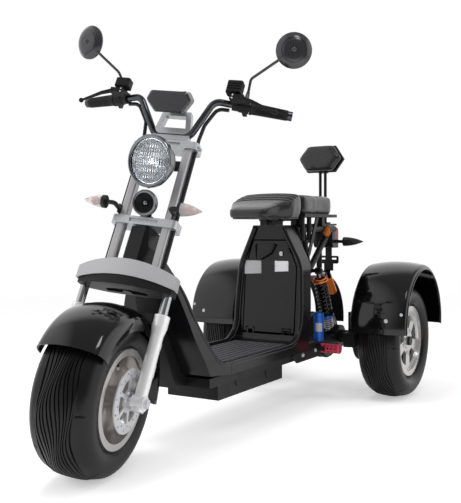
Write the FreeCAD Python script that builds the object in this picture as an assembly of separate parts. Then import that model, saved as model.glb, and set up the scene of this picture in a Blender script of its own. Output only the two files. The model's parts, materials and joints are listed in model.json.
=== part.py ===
import FreeCAD
import Part
import math
import os

# Electric trike: one steered front wheel, two driven rear wheels.
# Lengths are millimetres. The front faces -Y, the vehicle's left is +X, +Z is up.
# Everything is drawn with the front tyre's contact at the zero point and moved at the end.

# Whole vehicle
wheelbase = 1430.0
rear_track = 727.0
tyre_radius = 229.0
front_tyre_width = 182.0
rear_tyre_width = 168.0
rake_deg = 26.1
axis_ground_lead = 97.7
park_steer_deg = 14.6

# Clearances and general sheet sizes
seat_gap = 0.2
running_gap = 0.1
body_gap = 0.3
soft_gap = 0.3
cut_overrun = 2.0
half_turn_deg = 180.0
half_share = 0.5
plastic_wall = 3.0

# Wheels
rim_lip_radius = 141.0
rim_bead_radius = 127.0
rim_well_radius = 112.0
rim_wall = 5.0
rim_slope = 26.0
rim_lip_band = 8.0
front_rim_width = 168.0
rear_rim_width = 132.0
spoke_count = 5
spoke_disc_thickness = 14.0
front_spoke_outset = 26.0
rear_spoke_outset = 48.0
spoke_window_inner_radius = 52.0
spoke_window_outer_radius = 100.0
spoke_window_half_deg = 22.0
hub_radius = 34.0
hub_end_inset = 12.0
front_axle_radius = 7.5
rear_axle_radius = 12.5
axle_nut_radius = 13.0
axle_nut_length = 9.0
tyre_bead_height = 4.0
tyre_sidewall_share = 0.42
tyre_crown_share = 0.30
hub_nose = 5.0

# Front brake
disc_radius = 92.0
disc_inner_radius = 62.0
disc_thickness = 4.0
disc_offset = 101.0
disc_hole_radius = 3.4
disc_holes_per_ring = 24
disc_hole_ring_step = 9.0
disc_arm_count = 6
disc_arm_width = 11.0
disc_hub_radius = 33.0
caliper_length = 66.0
caliper_depth = 40.0
caliper_inner_x = 90.0
caliper_outer_x = 136.0
caliper_bracket_thickness = 9.0
caliper_bracket_reach = 100.0
caliper_overlap = 16.0
caliper_slot = 9.0
caliper_angle_deg = 8.0

# Fork, in the tilted frame of the steering axis: x across, b behind the axis, s along it
fork_lead = 13.0
upper_tube_half_spacing = 74.0
upper_tube_size = 27.0
upper_tube_corner = 6.0
lower_tube_half_spacing = 133.0
stanchion_radius = 13.5
slider_radius = 18.5
slider_collar_radius = 23.0
slider_collar_height = 46.0
slider_top = 500.0
slider_foot_drop = 26.0
slider_boss_radius = 22.0
slider_lug_length = 18.0
slider_lug_share = 0.32
stem_radius = 15.0
crown_bottom = 560.0
crown_top = 598.0
crown_half_width = 150.0
crown_bow = 34.0
crown_back = 24.0
crown_end_back = 6.0
head_tube_radius = 25.0
head_tube_length = 168.0
middle_yoke_thickness = 26.0
middle_yoke_half_width = 106.0
stem_nut_radius = 19.0
stem_nut_height = 12.0
middle_yoke_front = 33.0
middle_yoke_back = 26.0
yoke_corner = 12.0
yoke_pocket_inset = 9.0
yoke_pocket_depth = 6.0
upper_tube_top = 1062.0
top_yoke_thickness = 24.0
top_yoke_half_width = 104.0
yoke_bolt_radius = 8.0
yoke_bolt_length = 7.0

# Arched cover in front of the crown
cover_half_width = 155.0
cover_end_bottom = 573.0
cover_rise = 16.0
cover_height = 44.0
cover_thickness = 3.0
cover_return = 26.0

# Front mudguard
front_guard_top = 259.0
front_guard_half_width = 100.5
front_guard_corner = 40.0
front_guard_slope_deg = 22.0
front_guard_lip = 0.0
front_guard_skirt = 66.0
front_guard_front_deg = 41.0
front_guard_rear_deg = 16.0
guard_wall = 3.5
guard_stay_height = 24.0
guard_stay_lap = 16.0
guard_stay_depth = 26.0

# Handlebar, grips and controls in the fork frame
bar_radius = 11.0
bar_centre_back = -5.0
bar_rise = 30.0
bar_centre_height = upper_tube_top + bar_rise
bar_centre_half = 60.0
bar_shoulder_x = 126.0
bar_shoulder_back = -42.0
bar_shoulder_height = 1206.0
bar_end_x = 346.0
bar_end_back = 34.0
bar_end_height = 1218.0
bar_bend_radius = 34.0
grip_radius = 16.5
grip_length = 122.0
bar_bore_length = 208.0
grip_root_radius = 19.0
grip_flange_radius = 21.0
grip_flange_length = 8.0
bar_weight_radius = 15.0
bar_weight_length = 14.0
switch_radius = 19.0
switch_length = 32.0
clamp_radius = 17.5
clamp_length = 22.0
reservoir_width = 50.0
reservoir_depth = 34.0
reservoir_height = 28.0
left_reservoir_height = 40.0
reservoir_corner = 7.0
reservoir_seat_share = 0.6
reservoir_fin_count = 3
reservoir_fin_pitch = 9.0
reservoir_fin_gap = 3.0
reservoir_fin_depth = 3.0
reservoir_lift = 4.0
lever_clear = 5.0
mirror_boss_radius = 10.0
mirror_boss_height = 6.0
mirror_neck_length = 30.0
mirror_sleeve_length = 2.0
mirror_sleeve_radius = 9.0
mirror_sleeve_tip_radius = 5.6
lever_width = 12.0
lever_ball_radius = 8.0
lever_body_share = 0.4
lever_root_share = 0.8
lever_body_half = 8.4
lever_arm_length = 36.0
lever_pivot_reach = 26.0
lever_knee_share = 0.35
lever_root_radius = 7.4
lever_tip_radius = 3.6
lever_forward = 52.0
lever_tip_forward = 84.0
lever_drop = 44.0

# Riser that carries the handlebar and the display
riser_half_width_low = 62.0
riser_half_width_high = 48.0
riser_thickness = 22.0
riser_top = 1176.0
riser_leg_width = 17.0
riser_bridge_height = 16.0
riser_web_height = 26.0
display_half_width = 76.0
display_top_half_width = 60.0
display_bottom_half_width = 46.0
display_height = 66.0
display_thickness = 42.0
display_corner = 12.0
display_chamfer = 6.0
display_back = -84.0
display_centre = 1168.0
display_tilt_deg = 34.0
display_bracket_thickness = 4.0
display_bracket_width = 58.0

# Lamp, horn and front indicators
lamp_radius = 78.0
lamp_centre = 944.0
lamp_back = -105.0
lamp_turn_deg = -12.0
lamp_bezel_depth = 16.0
lamp_bezel_width = 9.0
lamp_bowl_depth = 78.0
lamp_bowl_end_radius = 30.0
lamp_wall = 3.0
lamp_lens_bulge = 12.0
lamp_stalk_radius = 7.0
lamp_ear_width = 34.0
lamp_ear_thickness = 5.0
lamp_bracket_back = -22.0
lamp_boss_radius = 15.0
horn_radius = 40.0
horn_depth = 24.0
horn_centre = 825.0
horn_back = -62.0
horn_ring = 9.0
horn_cone_depth = 12.0
horn_dome_radius = 7.0
indicator_base_x = 118.0
indicator_tip_x = 194.0
indicator_back = -70.0
indicator_height = 812.0
indicator_radius = 20.0
indicator_tip_radius = 4.0
indicator_collar = 10.0
indicator_stem_radius = 7.0
indicator_clamp_width = 46.0
indicator_clamp_height = 28.0

# Mirrors
mirror_stem_radius = 4.5
mirror_bend_x = 228.0
mirror_bend_back = -50.0
mirror_bend_height = 1290.0
mirror_x = 352.0
mirror_back = -78.0
mirror_height = 1383.0
mirror_radius = 56.0
mirror_depth = 15.0
mirror_rim = 3.0
mirror_glass_thickness = 2.0
mirror_turn_left_deg = 16.0
mirror_turn_right_deg = 18.0
mirror_ball_radius = 9.0
mirror_bend_round = 18.0

# Cables
loom_radius = 6.0
loom_foot_lift = 24.0
loom_merge_share = 0.42
loom_side = 13.0
loom_behind = 11.0
loom_under = 4.0
loom_corner_side = 9.0
loom_corner_behind = 18.0
loom_corner_under = 16.0
loom_end_reach = 184.0
loom_end_behind = 6.0
loom_end_under = 18.5
loom_bend = 30.0

# Body profile seen from the side
floor_top = 262.0
floor_thickness = 44.0
body_half_width = 150.0
rim_width = 24.0
rim_height = 14.0
edge_bead_radius = 9.0
band_inset_share = 0.4
knee_round = 200.0
heel_round = 40.0
foot_round = 100.0
foot_seam_reach = 60.0
foot_seam_ahead = 100.0
rear_round = 30.0
shoulder_round = 150.0
flank_round = 300.0
shield_top_y = 286.0
shield_top_z = 588.0
shield_knee_y = 328.0
shield_knee_z = 392.0
floor_front_y = 436.0
tower_foot_ahead = 434.0
tower_foot_y = wheelbase - tower_foot_ahead
tower_shoulder_set_back = 28.0
tower_shoulder_y = tower_foot_y + tower_shoulder_set_back
tower_shoulder_z = 548.0
tower_top_set_back = 16.0
tower_top_y = tower_foot_y + tower_top_set_back
tower_top_z = 700.0
tower_depth = 84.0
tower_top_half_width = 70.0
tower_shoulder_half_width = 141.0
tower_waist_z = 382.0
tower_tuck = 18.0
tower_top_inset_share = 0.6
shield_top_half_width = 50.0
shield_thickness = 40.0
shield_toe_ahead = 66.0
shield_toe_lift = 13.0
shield_knee_drop = 18.0
shield_waist_z = 272.0
shield_waist_half_width = 136.0
shield_chest_z = 490.0
shield_chest_half_width = 104.0
panel_seam = 0.6

# Door of the seat tower
door_half_width = 110.0
door_top_half_width = 72.0
door_bottom_z = 286.0
door_top_z = 640.0
door_thickness = 14.0
door_gap = 5.0
door_sill_gap = 8.5
door_corner = 8.0
door_shoulder_z = 538.0
door_shoulder_round = 60.0
door_strap_half = 4.5
door_hinge_radius = 6.0
door_pin_radius = 3.0
door_hinge_x = 70.0
door_hinge_length = 20.0
door_lug_width = 7.0
door_hinge_set_back = 23.0
door_hinge_y = tower_foot_y + door_hinge_set_back
door_hinge_z = 295.0
door_hinge_clear = 3.0
tower_wall = 4.0
lock_radius = 9.0
lock_length = 6.0
lock_x = 78.0
lock_z = 600.0
handle_recess_half_width = 52.0
handle_centre_x = -14.0
handle_top_x = 34.0
handle_knee_x = 14.0
handle_knee_share = 0.4
handle_top_drop = 12.0
handle_face_rise = 4.0
handle_recess_height = 62.0
handle_recess_depth = 6.0
handle_bar_radius = 4.0

# Neck cover and down tube
neck_half_width = 42.0
neck_front = 33.0
neck_back = 44.0
neck_chamfer = 16.0
neck_clearance = 4.0
down_tube_half_width = 39.0
down_tube_depth = 30.0
down_tube_head = 28.0
down_tube_toe = 46.0

# Floor rails, tray and mat
rail_half_spacing = 100.0
rail_width = 30.0
rail_height = 30.0
tray_half_width = 100.0
tray_front_y = 486.0
tray_rear_ahead = 492.0
tray_rear_y = wheelbase - tray_rear_ahead
tray_bottom = 128.0
tray_wall = 4.0
mat_half_width = 116.0
mat_thickness = 4.0
mat_rib_count = 9
mat_rib_height = 3.0
mat_rib_width = 7.0
mat_margin = 14.0
mat_rear_margin = 34.0

# Rear frame
rail_tube_radius = 14.0
upright_radius = 12.5
frame_tie_radius = 11.5
frame_joint_radius = 15.5
upright_ahead = 280.0
upright_y = wheelbase - upright_ahead
beam_inner_x = 50.0
beam_outer_x = 80.0
beam_rear_ahead = 260.0
beam_rear_y = wheelbase - beam_rear_ahead
rail_rear_ahead = 368.0
rail_rear_y = wheelbase - rail_rear_ahead
seat_rail_front_ahead = 310.0
seat_rail_front_y = wheelbase - seat_rail_front_ahead
seat_rail_z = 684.0
seat_rail_rear_behind = 70.0
seat_rail_rear_y = wheelbase + seat_rail_rear_behind
seat_rail_half_spacing = 62.0
shock_mount_ahead = 208.0
shock_mount_y = wheelbase - shock_mount_ahead
shock_mount_z = 516.0
cross_tube_radius = 13.0
pivot_ahead = 322.0
pivot_y = wheelbase - pivot_ahead
pivot_z = 214.0
pivot_radius = 20.0
swing_arm_half_spacing = 114.0
swing_arm_width = 28.0
swing_arm_height = 40.0
gusset_thickness = 6.0
gusset_front_ahead = 480.0
gusset_front_y = wheelbase - gusset_front_ahead
gusset_rear_ahead = 216.0
gusset_rear_y = wheelbase - gusset_rear_ahead
gusset_top = 240.0
gusset_bottom = 178.0
gusset_slope = 44.0
gusset_tip = 20.0

# Rear axle with its motor
axle_tube_radius = 27.0
axle_tube_end = 200.0
motor_radius = 92.0
motor_half_length = 74.0
motor_end_radius = 78.0
motor_rib_count = 6
motor_rib_radius = 97.0
motor_rib_width = 6.0
axle_flange_radius = 52.0
axle_flange_thickness = 10.0
rear_disc_radius = 92.0
rear_disc_thickness = 4.0
rear_disc_x = 214.0
rear_caliper_width = 30.0
rear_caliper_length = 58.0
rear_caliper_depth = 34.0

# Shock absorbers
shock_foot_x = 122.0
shock_head_x = 118.0
shock_foot_ahead = 112.0
shock_foot_y = wheelbase - shock_foot_ahead
shock_foot_z = 268.0
shock_eye_radius = 14.0
shock_eye_width = 22.0
shock_body_radius = 19.0
shock_rod_radius = 7.0
spring_radius = 28.0
spring_wire = 9.0
spring_turns = 8
shock_pin_radius = 7.8
shock_ear_thickness = 8.0
shock_nut_length = 6.0
spring_start_share = 0.16
spring_end_share = 0.72
spring_plate_radius = 30.0
spring_plate_thickness = 6.0
canister_radius = 18.0
canister_cap_length = 24.0
canister_cap_share = 0.5
canister_bridge_share = 0.04
orange_length = 84.0
orange_set_back = 88.0
orange_drop = 28.0
orange_lean_deg = 38.0
blue_length = 114.0
blue_x = 122.0
blue_ahead = 216.0
blue_y = wheelbase - blue_ahead
blue_radius = 21.0
canister_bridge_radius = 8.0

# Mudguards
rear_guard_radius = 250.0
rear_guard_lift = 71.0
rear_guard_back = 7.0
rear_guard_half_width = 112.0
rear_guard_centre_x = 374.0
rear_guard_corner = 14.0
rear_guard_slope_deg = 12.0
rear_guard_skirt = 30.0
rear_guard_lip = 3.0
rear_guard_tail = 20.0
centre_guard_radius = 195.0
centre_guard_ahead = 28.0
centre_guard_y = wheelbase - centre_guard_ahead
centre_guard_z = 290.0
centre_guard_half_width = 68.0
centre_guard_stay_behind = 56.0
centre_guard_stay_y = wheelbase + centre_guard_stay_behind
centre_guard_stay_width = 24.0
centre_guard_stay_thickness = 6.0
centre_guard_front_deg = 118.0
centre_guard_rear_deg = -6.0
rear_stay_x = 180.0
rear_stay_thickness = 7.0
rear_stay_width = 66.0
rear_stay_shelf_z = 336.0
rear_stay_flange_z = 420.0
stay_bolt_radius = 7.0
stay_bolt_height = 5.0

# Seats and backrest
saddle_front_ahead = 584.0
saddle_front_y = wheelbase - saddle_front_ahead
saddle_rear_ahead = 348.0
saddle_rear_y = wheelbase - saddle_rear_ahead
saddle_nose_half_width = 92.0
saddle_half_width = 138.0
saddle_bottom = 736.0
saddle_front_top = 786.0
saddle_rear_top = 812.0
saddle_round = 26.0
pad_front_ahead = 338.0
pad_front_y = wheelbase - pad_front_ahead
pad_rear_ahead = 38.0
pad_rear_y = wheelbase - pad_rear_ahead
pad_half_width = 122.0
pad_rear_half_width = 112.0
pad_bottom = 744.0
pad_top = 806.0
pad_round = 16.0
seat_plate_thickness = 12.0
seat_plate_inset = 22.0
pad_plate_overhang = 6.0
seat_post_half_spacing = 42.0
seat_post_size = 24.0
rack_half_width = 52.0
rack_rear_behind = 126.0
rack_rear_y = wheelbase + rack_rear_behind
rack_thickness = 8.0
stay_thickness = 6.0
stay_x = 101.0
stay_reach = 11.0
stay_top_ahead = 184.0
stay_top_y = wheelbase - stay_top_ahead
stay_foot_ahead = 268.0
stay_foot_y = wheelbase - stay_foot_ahead
stay_foot_z = 584.0
stay_boss_radius = 7.0
damper_x = 90.0
damper_radius = 9.5
damper_front_ahead = 296.0
damper_front_y = wheelbase - damper_front_ahead
damper_pitch = 60.0
damper_bottom_z = 640.0
neck_post_inner_x = 13.0
neck_post_outer_x = 40.0
neck_post_depth = 52.0
neck_pin_radius = 8.0
neck_pin_lift = 36.0
back_post_half_spacing = 12.0
back_post_radius = 6.5
back_post_behind = 94.0
back_post_y = wheelbase + back_post_behind
back_post_top = 985.0
back_half_width = 104.0
back_top_half_width = 62.0
back_bottom_half_width = 66.0
back_bottom_z = 930.0
back_wide_z = 986.0
back_top_z = 1046.0
back_pad_thickness = 34.0
back_shell_thickness = 12.0
back_round = 10.0
back_lean_deg = 8.0

# Rear lamps and plate bracket
tail_lamp_half_width = 46.0
tail_lamp_height = 92.0
tail_lamp_round = 15.0
tail_housing_radius = 22.0
tail_hanger_half_width = 18.0
tail_lamp_front_behind = 94.0
tail_lamp_front_y = wheelbase + tail_lamp_front_behind
tail_lamp_rear_behind = 158.0
tail_lamp_rear_y = wheelbase + tail_lamp_rear_behind
tail_lamp_z = 600.0
rear_indicator_x = 90.0
rear_indicator_tip_x = 182.0
rear_indicator_behind = 118.0
rear_indicator_y = wheelbase + rear_indicator_behind
rear_indicator_z = 628.0
reflector_width = 9.0
reflector_height = 50.0
reflector_length = 30.0
reflector_half_share = 0.5
reflector_z = 672.0
reflector_ahead = 43.0
reflector_y = wheelbase - reflector_ahead
plate_bracket_half_width = 48.0
plate_bracket_top_z = 563.0
plate_bracket_height = 35.0
plate_arm_half_width = 15.0
plate_tongue_half_width = 22.0
plate_tongue_drop = 32.0
plate_corner = 8.0
plate_bracket_thickness = 4.0
plate_slot_inner_x = 16.0
plate_slot_outer_x = 38.0
plate_slot_height = 8.0
plate_slot_drop = 9.0

# Passenger foot pegs
peg_ahead = 254.0
peg_y = wheelbase - peg_ahead
peg_z = 214.0
peg_inner_x = 158.0
peg_length = 82.0
peg_width = 52.0
peg_thickness = 16.0
peg_hole_radius = 5.0
peg_hole_pitch = 15.0
peg_hole_rows = 3
peg_hole_columns = 4
peg_pin_radius = 5.0
peg_knuckle_radius = 9.0
peg_fork_thickness = 7.0
peg_ear_reach = 4.0

V = FreeCAD.Vector
X_AXIS = V(1, 0, 0)
Y_AXIS = V(0, 1, 0)
Z_AXIS = V(0, 0, 1)
ZERO = V(0, 0, 0)


# General shapes

def block(x0, x1, y0, y1, z0, z1):
    return Part.makeBox(x1 - x0, y1 - y0, z1 - z0, V(x0, y0, z0))


def rod(start, end, radius):
    along = end - start
    return Part.makeCylinder(radius, along.Length, start, along)


def cone_between(start, end, radius_start, radius_end):
    along = end - start
    return Part.makeCone(radius_start, radius_end, along.Length, start, along)


def ball(centre, radius):
    return Part.makeSphere(radius, centre)


def fuse(shapes):
    joined = shapes[0]
    if len(shapes) > 1:
        joined = shapes[0].multiFuse(shapes[1:])
    return joined.removeSplitter()


def group(shapes):
    solids = []
    for shape in shapes:
        solids.extend(shape.Solids)
    return Part.makeCompound(solids)


def mirrored(shape):
    return shape.mirror(ZERO, X_AXIS)


def pair(shape):
    return group([shape, mirrored(shape)])


def closed_face(points):
    return Part.Face(Part.makePolygon(points + [points[0]]))


def rounded_wire(points, radii):
    edges = []
    count = len(points)
    ends = []
    for index in range(count):
        corner = points[index]
        back = (points[index - 1] - corner).normalize()
        ahead = (points[(index + 1) % count] - corner).normalize()
        half = 0.5 * back.getAngle(ahead)
        radius = radii[index]
        if radius > 0:
            reach = radius / math.tan(half)
            middle = corner + (back + ahead).normalize() * (radius / math.sin(half) - radius)
            first = corner + back * reach
            last = corner + ahead * reach
            ends.append((first, last))
            edges.append(Part.Arc(first, middle, last).toShape())
        else:
            ends.append((corner, corner))
    for index in range(count):
        start = ends[index][1]
        finish = ends[(index + 1) % count][0]
        edges.append(Part.makeLine(start, finish))
    return Part.Wire(Part.__sortEdges__(edges))


def side_slab(points_yz, radii, x0, x1):
    wire = rounded_wire([V(x0, y, z) for y, z in points_yz], radii)
    return Part.Face(wire).extrude(V(x1 - x0, 0, 0))


def front_slab(points_xz, radii, y0, y1):
    wire = rounded_wire([V(x, y0, z) for x, z in points_xz], radii)
    return Part.Face(wire).extrude(V(0, y1 - y0, 0))


def plan_slab(points_xy, radii, z0, z1):
    wire = rounded_wire([V(x, y, z0) for x, y in points_xy], radii)
    return Part.Face(wire).extrude(V(0, 0, z1 - z0))


def side_prism(points_yz, x0, x1):
    face = closed_face([V(x0, y, z) for y, z in points_yz])
    return face.extrude(V(x1 - x0, 0, 0))


def front_prism(points_xz, y0, y1):
    face = closed_face([V(x, y0, z) for x, z in points_xz])
    return face.extrude(V(0, y1 - y0, 0))


def plan_prism(points_xy, z0, z1):
    face = closed_face([V(x, y, z0) for x, y in points_xy])
    return face.extrude(V(0, 0, z1 - z0))


def edges_along(shape, direction, picks=None):
    found = []
    for edge in shape.Edges:
        if len(edge.Vertexes) == 2:
            line = edge.Vertexes[1].Point - edge.Vertexes[0].Point
            if line.Length > 0 and abs(line.normalize().dot(direction)) > 0.999:
                if picks is None or picks(edge.CenterOfMass):
                    found.append(edge)
    return found


def rounded(shape, radius, direction, picks=None):
    return shape.makeFillet(radius, edges_along(shape, direction, picks))


def wheel_turned(points_xr, centre_y, centre_z, degrees=360.0):
    face = closed_face([V(x, centre_y, centre_z + r) for x, r in points_xr])
    return face.revolve(V(0, centre_y, centre_z), X_AXIS, degrees)


def bent_rod(points, radius, bend):
    edges = []
    start = points[0]
    bends = bend if isinstance(bend, list) else [bend] * (len(points) - 2)
    for here, corner, onward, bend in zip(points, points[1:], points[2:], bends):
        back = (here - corner).normalize()
        ahead = (onward - corner).normalize()
        half = 0.5 * back.getAngle(ahead)
        reach = bend / math.tan(half)
        first = corner + back * reach
        last = corner + ahead * reach
        middle_dir = (back + ahead).normalize()
        middle = corner + middle_dir * (bend / math.sin(half) - bend)
        edges.append(Part.makeLine(start, first))
        edges.append(Part.Arc(first, middle, last).toShape())
        start = last
    edges.append(Part.makeLine(start, points[-1]))
    path = Part.Wire(edges)
    along = points[1] - points[0]
    ring = Part.Wire(Part.makeCircle(radius, points[0], along))
    return path.makePipeShell([ring], True, False)


# Frames: the fork leans back by the rake, and the whole steering group is parked turned

rake = math.radians(rake_deg)
axle_height_on_fork = axis_ground_lead * math.sin(rake) + tyre_radius * math.cos(rake)
axle_lead = tyre_radius * math.sin(rake) - axis_ground_lead * math.cos(rake)
head_tube_bottom = crown_top + body_gap
middle_yoke_bottom = head_tube_bottom + head_tube_length + body_gap
middle_yoke_top = middle_yoke_bottom + middle_yoke_thickness
top_yoke_bottom = upper_tube_top - top_yoke_thickness
rear_half_track = 0.5 * rear_track
floor_bottom = floor_top - floor_thickness
front_seam_y = floor_front_y + foot_seam_reach
rear_seam_y = tower_foot_y - foot_seam_ahead


def tilted(shape):
    leaned = shape.copy()
    leaned.rotate(ZERO, X_AXIS, -rake_deg)
    leaned.translate(V(0, -axis_ground_lead, 0))
    return leaned


def parked(shape):
    turned = shape.copy()
    axis = V(0, math.sin(rake), math.cos(rake))
    turned.rotate(V(0, -axis_ground_lead, 0), axis, park_steer_deg)
    return turned


def fork_point_upright(x, back, along):
    y = -axis_ground_lead + along * math.sin(rake) + back * math.cos(rake)
    z = along * math.cos(rake) - back * math.sin(rake)
    return V(x, y, z)


def back_of(y, z):
    return (y + axis_ground_lead) * math.cos(rake) - z * math.sin(rake)


def along_of(y, z):
    return (y + axis_ground_lead) * math.sin(rake) + z * math.cos(rake)


# Wheels

def tyre(centre_x, centre_y, width, rim_width_here):
    half = 0.5 * width
    seat = 0.5 * rim_width_here - rim_lip_band
    bead = rim_bead_radius + seat_gap
    height = tyre_radius - bead
    crown = tyre_crown_share * width
    side_height = tyre_sidewall_share * height
    side_radius = bead + side_height

    def at(x, r):
        return V(centre_x + x, centre_y, tyre_radius + r)

    inner_bead = bead + tyre_bead_height
    shoulder_x = half - 0.12 * width
    shoulder_r = tyre_radius - 0.13 * height
    edges = [
        Part.makeLine(at(-seat, bead), at(seat, bead)),
        Part.makeLine(at(seat, bead), at(seat, inner_bead + tyre_bead_height * 3)),
        Part.Arc(at(seat, inner_bead + tyre_bead_height * 3), at(half, side_radius + 0.1 * height),
                 at(shoulder_x, shoulder_r)).toShape(),
        Part.Arc(at(shoulder_x, shoulder_r), at(0, tyre_radius), at(-shoulder_x, shoulder_r)).toShape(),
        Part.Arc(at(-shoulder_x, shoulder_r), at(-half, side_radius + 0.1 * height),
                 at(-seat, inner_bead + tyre_bead_height * 3)).toShape(),
        Part.makeLine(at(-seat, inner_bead + tyre_bead_height * 3), at(-seat, bead)),
    ]
    face = Part.Face(Part.Wire(edges))
    return face.revolve(V(centre_x, centre_y, tyre_radius), X_AXIS, 360)


def rim(centre_x, centre_y, width, spoke_x, bore_radius, hub_reach_x, brake_plate=False):
    half = 0.5 * width
    seat = half - rim_lip_band
    floor_half = seat - rim_slope
    outline = [
        (half, rim_lip_radius), (seat, rim_lip_radius), (seat, rim_bead_radius), (-seat, rim_bead_radius),
        (-seat, rim_lip_radius), (-half, rim_lip_radius), (-half, rim_bead_radius - rim_wall),
        (-seat, rim_bead_radius - rim_wall), (-floor_half, rim_well_radius), (floor_half, rim_well_radius),
        (seat, rim_bead_radius - rim_wall), (half, rim_bead_radius - rim_wall),
    ]
    barrel = wheel_turned([(centre_x + x, r) for x, r in outline], centre_y, tyre_radius)
    face_x = centre_x + spoke_x
    disc = rod(V(face_x - 0.5 * spoke_disc_thickness, centre_y, tyre_radius),
               V(face_x + 0.5 * spoke_disc_thickness, centre_y, tyre_radius), rim_bead_radius - 0.5 * rim_wall)
    windows = []
    for index in range(spoke_count):
        windows.append(spoke_window(face_x, centre_y, 360.0 * index / spoke_count))
    hub_half = half - hub_end_inset + hub_nose
    hub_start = V(centre_x + math.copysign(hub_half, spoke_x), centre_y, tyre_radius)
    hub_end = V(hub_reach_x, centre_y, tyre_radius)
    pieces = [barrel, disc.cut(windows), rod(hub_start, hub_end, hub_radius)]
    if brake_plate:
        pieces.append(rod(hub_end, hub_end + V(rear_disc_thickness, 0, 0), rear_disc_radius))
    reach = 2 * width
    bore = rod(V(centre_x - reach, centre_y, tyre_radius), V(centre_x + reach, centre_y, tyre_radius),
               bore_radius)
    return fuse(pieces).cut(bore)


def spoke_window(face_x, centre_y, angle_deg):
    inner = spoke_window_inner_radius
    outer = spoke_window_outer_radius
    half = math.radians(spoke_window_half_deg)
    depth = spoke_disc_thickness

    def at(radius, angle):
        return V(face_x - depth, centre_y + radius * math.cos(angle), tyre_radius + radius * math.sin(angle))

    inner_half = 0.7 * half
    edges = [
        Part.makeLine(at(inner, -inner_half), at(outer, -half)),
        Part.Arc(at(outer, -half), at(outer, 0), at(outer, half)).toShape(),
        Part.makeLine(at(outer, half), at(inner, inner_half)),
        Part.Arc(at(inner, inner_half), at(inner, 0), at(inner, -inner_half)).toShape(),
    ]
    window = Part.Face(Part.Wire(edges)).extrude(V(2 * depth, 0, 0))
    window.rotate(V(0, centre_y, tyre_radius), X_AXIS, angle_deg + 90.0)
    return window


def front_brake_disc():
    low = disc_offset - 0.5 * disc_thickness
    high = disc_offset + 0.5 * disc_thickness
    centre = V(low, 0, tyre_radius)
    rotor = Part.makeCylinder(disc_radius, disc_thickness, centre, X_AXIS)
    rotor = rotor.cut(Part.makeCylinder(disc_inner_radius, disc_thickness, centre, X_AXIS))
    carrier = [Part.makeCylinder(disc_hub_radius, disc_thickness, centre, X_AXIS)]
    for index in range(disc_arm_count):
        arm = block(low, high, -0.5 * disc_arm_width, 0.5 * disc_arm_width, tyre_radius + 0.5 * disc_hub_radius,
                    tyre_radius + disc_inner_radius + disc_arm_width)
        arm.rotate(V(0, 0, tyre_radius), X_AXIS, 360.0 * index / disc_arm_count)
        carrier.append(arm)
    disc = fuse([rotor] + carrier)
    holes = [Part.makeCylinder(front_axle_radius + running_gap, disc_thickness, centre, X_AXIS)]
    first_ring = disc_inner_radius + disc_hole_ring_step
    for ring in range(2):
        radius = first_ring + ring * disc_hole_ring_step * 1.3
        for index in range(disc_holes_per_ring // 2):
            angle = 2 * math.pi * (index + 0.5 * ring) / (disc_holes_per_ring // 2)
            spot = V(low, radius * math.cos(angle), tyre_radius + radius * math.sin(angle))
            holes.append(Part.makeCylinder(disc_hole_radius, disc_thickness, spot, X_AXIS))
    return disc.cut(holes)


# Fork

def square_tube(x, back, bottom, top, size, corner):
    half = 0.5 * size
    bar = block(x - half, x + half, back - half, back + half, bottom, top)
    return rounded(bar, corner, Z_AXIS)


def upper_tubes():
    tube = square_tube(upper_tube_half_spacing, -fork_lead, crown_top + seat_gap, upper_tube_top,
                       upper_tube_size, upper_tube_corner)
    return pair(tube)


def stanchions():
    x = lower_tube_half_spacing
    tube = rod(V(x, -fork_lead, slider_top - slider_collar_height), V(x, -fork_lead, crown_top), stanchion_radius)
    return pair(tube)


def slider():
    x = lower_tube_half_spacing
    back = -fork_lead
    foot = axle_height_on_fork
    body = rod(V(x, back, foot - slider_foot_drop), V(x, back, slider_top - slider_collar_height), slider_radius)
    neck_bottom = slider_top - slider_collar_height
    collar_step = 0.25 * slider_collar_height
    taper = cone_between(V(x, back, neck_bottom - collar_step), V(x, back, neck_bottom + collar_step),
                         slider_radius, slider_collar_radius)
    collar = rod(V(x, back, neck_bottom + collar_step), V(x, back, slider_top), slider_collar_radius)
    boss = rod(V(x - slider_radius, back, foot), V(x + slider_radius, back, foot), slider_boss_radius)
    ear_z = foot + slider_lug_share * (slider_top - foot)
    ear = block(x - 0.35 * slider_radius, x + 0.35 * slider_radius, back, back + slider_radius + slider_lug_length,
                ear_z, ear_z + 2 * slider_lug_length)
    high_ear_z = neck_bottom - 2.4 * slider_lug_length
    high_ear = block(x - 0.35 * slider_radius, x + 0.35 * slider_radius,
                     back, back + slider_radius + slider_lug_length, high_ear_z, high_ear_z + slider_lug_length)
    leg = fuse([body, taper, collar, boss, ear, high_ear])
    socket = rod(V(x, back, neck_bottom - cut_overrun), V(x, back, slider_top + cut_overrun),
                 stanchion_radius + seat_gap)
    axle_hole = rod(V(x - 2 * slider_radius, back, foot), V(x + 2 * slider_radius, back, foot),
                    front_axle_radius + seat_gap)
    return leg.cut([socket, axle_hole])


def sliders():
    return pair(slider())


def slider_clearance():
    x = lower_tube_half_spacing
    tube = rod(V(x, -fork_lead, 0), V(x, -fork_lead, slider_top), slider_radius + seat_gap)
    boss = rod(V(x - slider_radius - seat_gap, -fork_lead, axle_height_on_fork),
               V(x + slider_radius + seat_gap, -fork_lead, axle_height_on_fork), slider_boss_radius + seat_gap)
    return tilted(fuse([tube, boss]))


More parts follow.
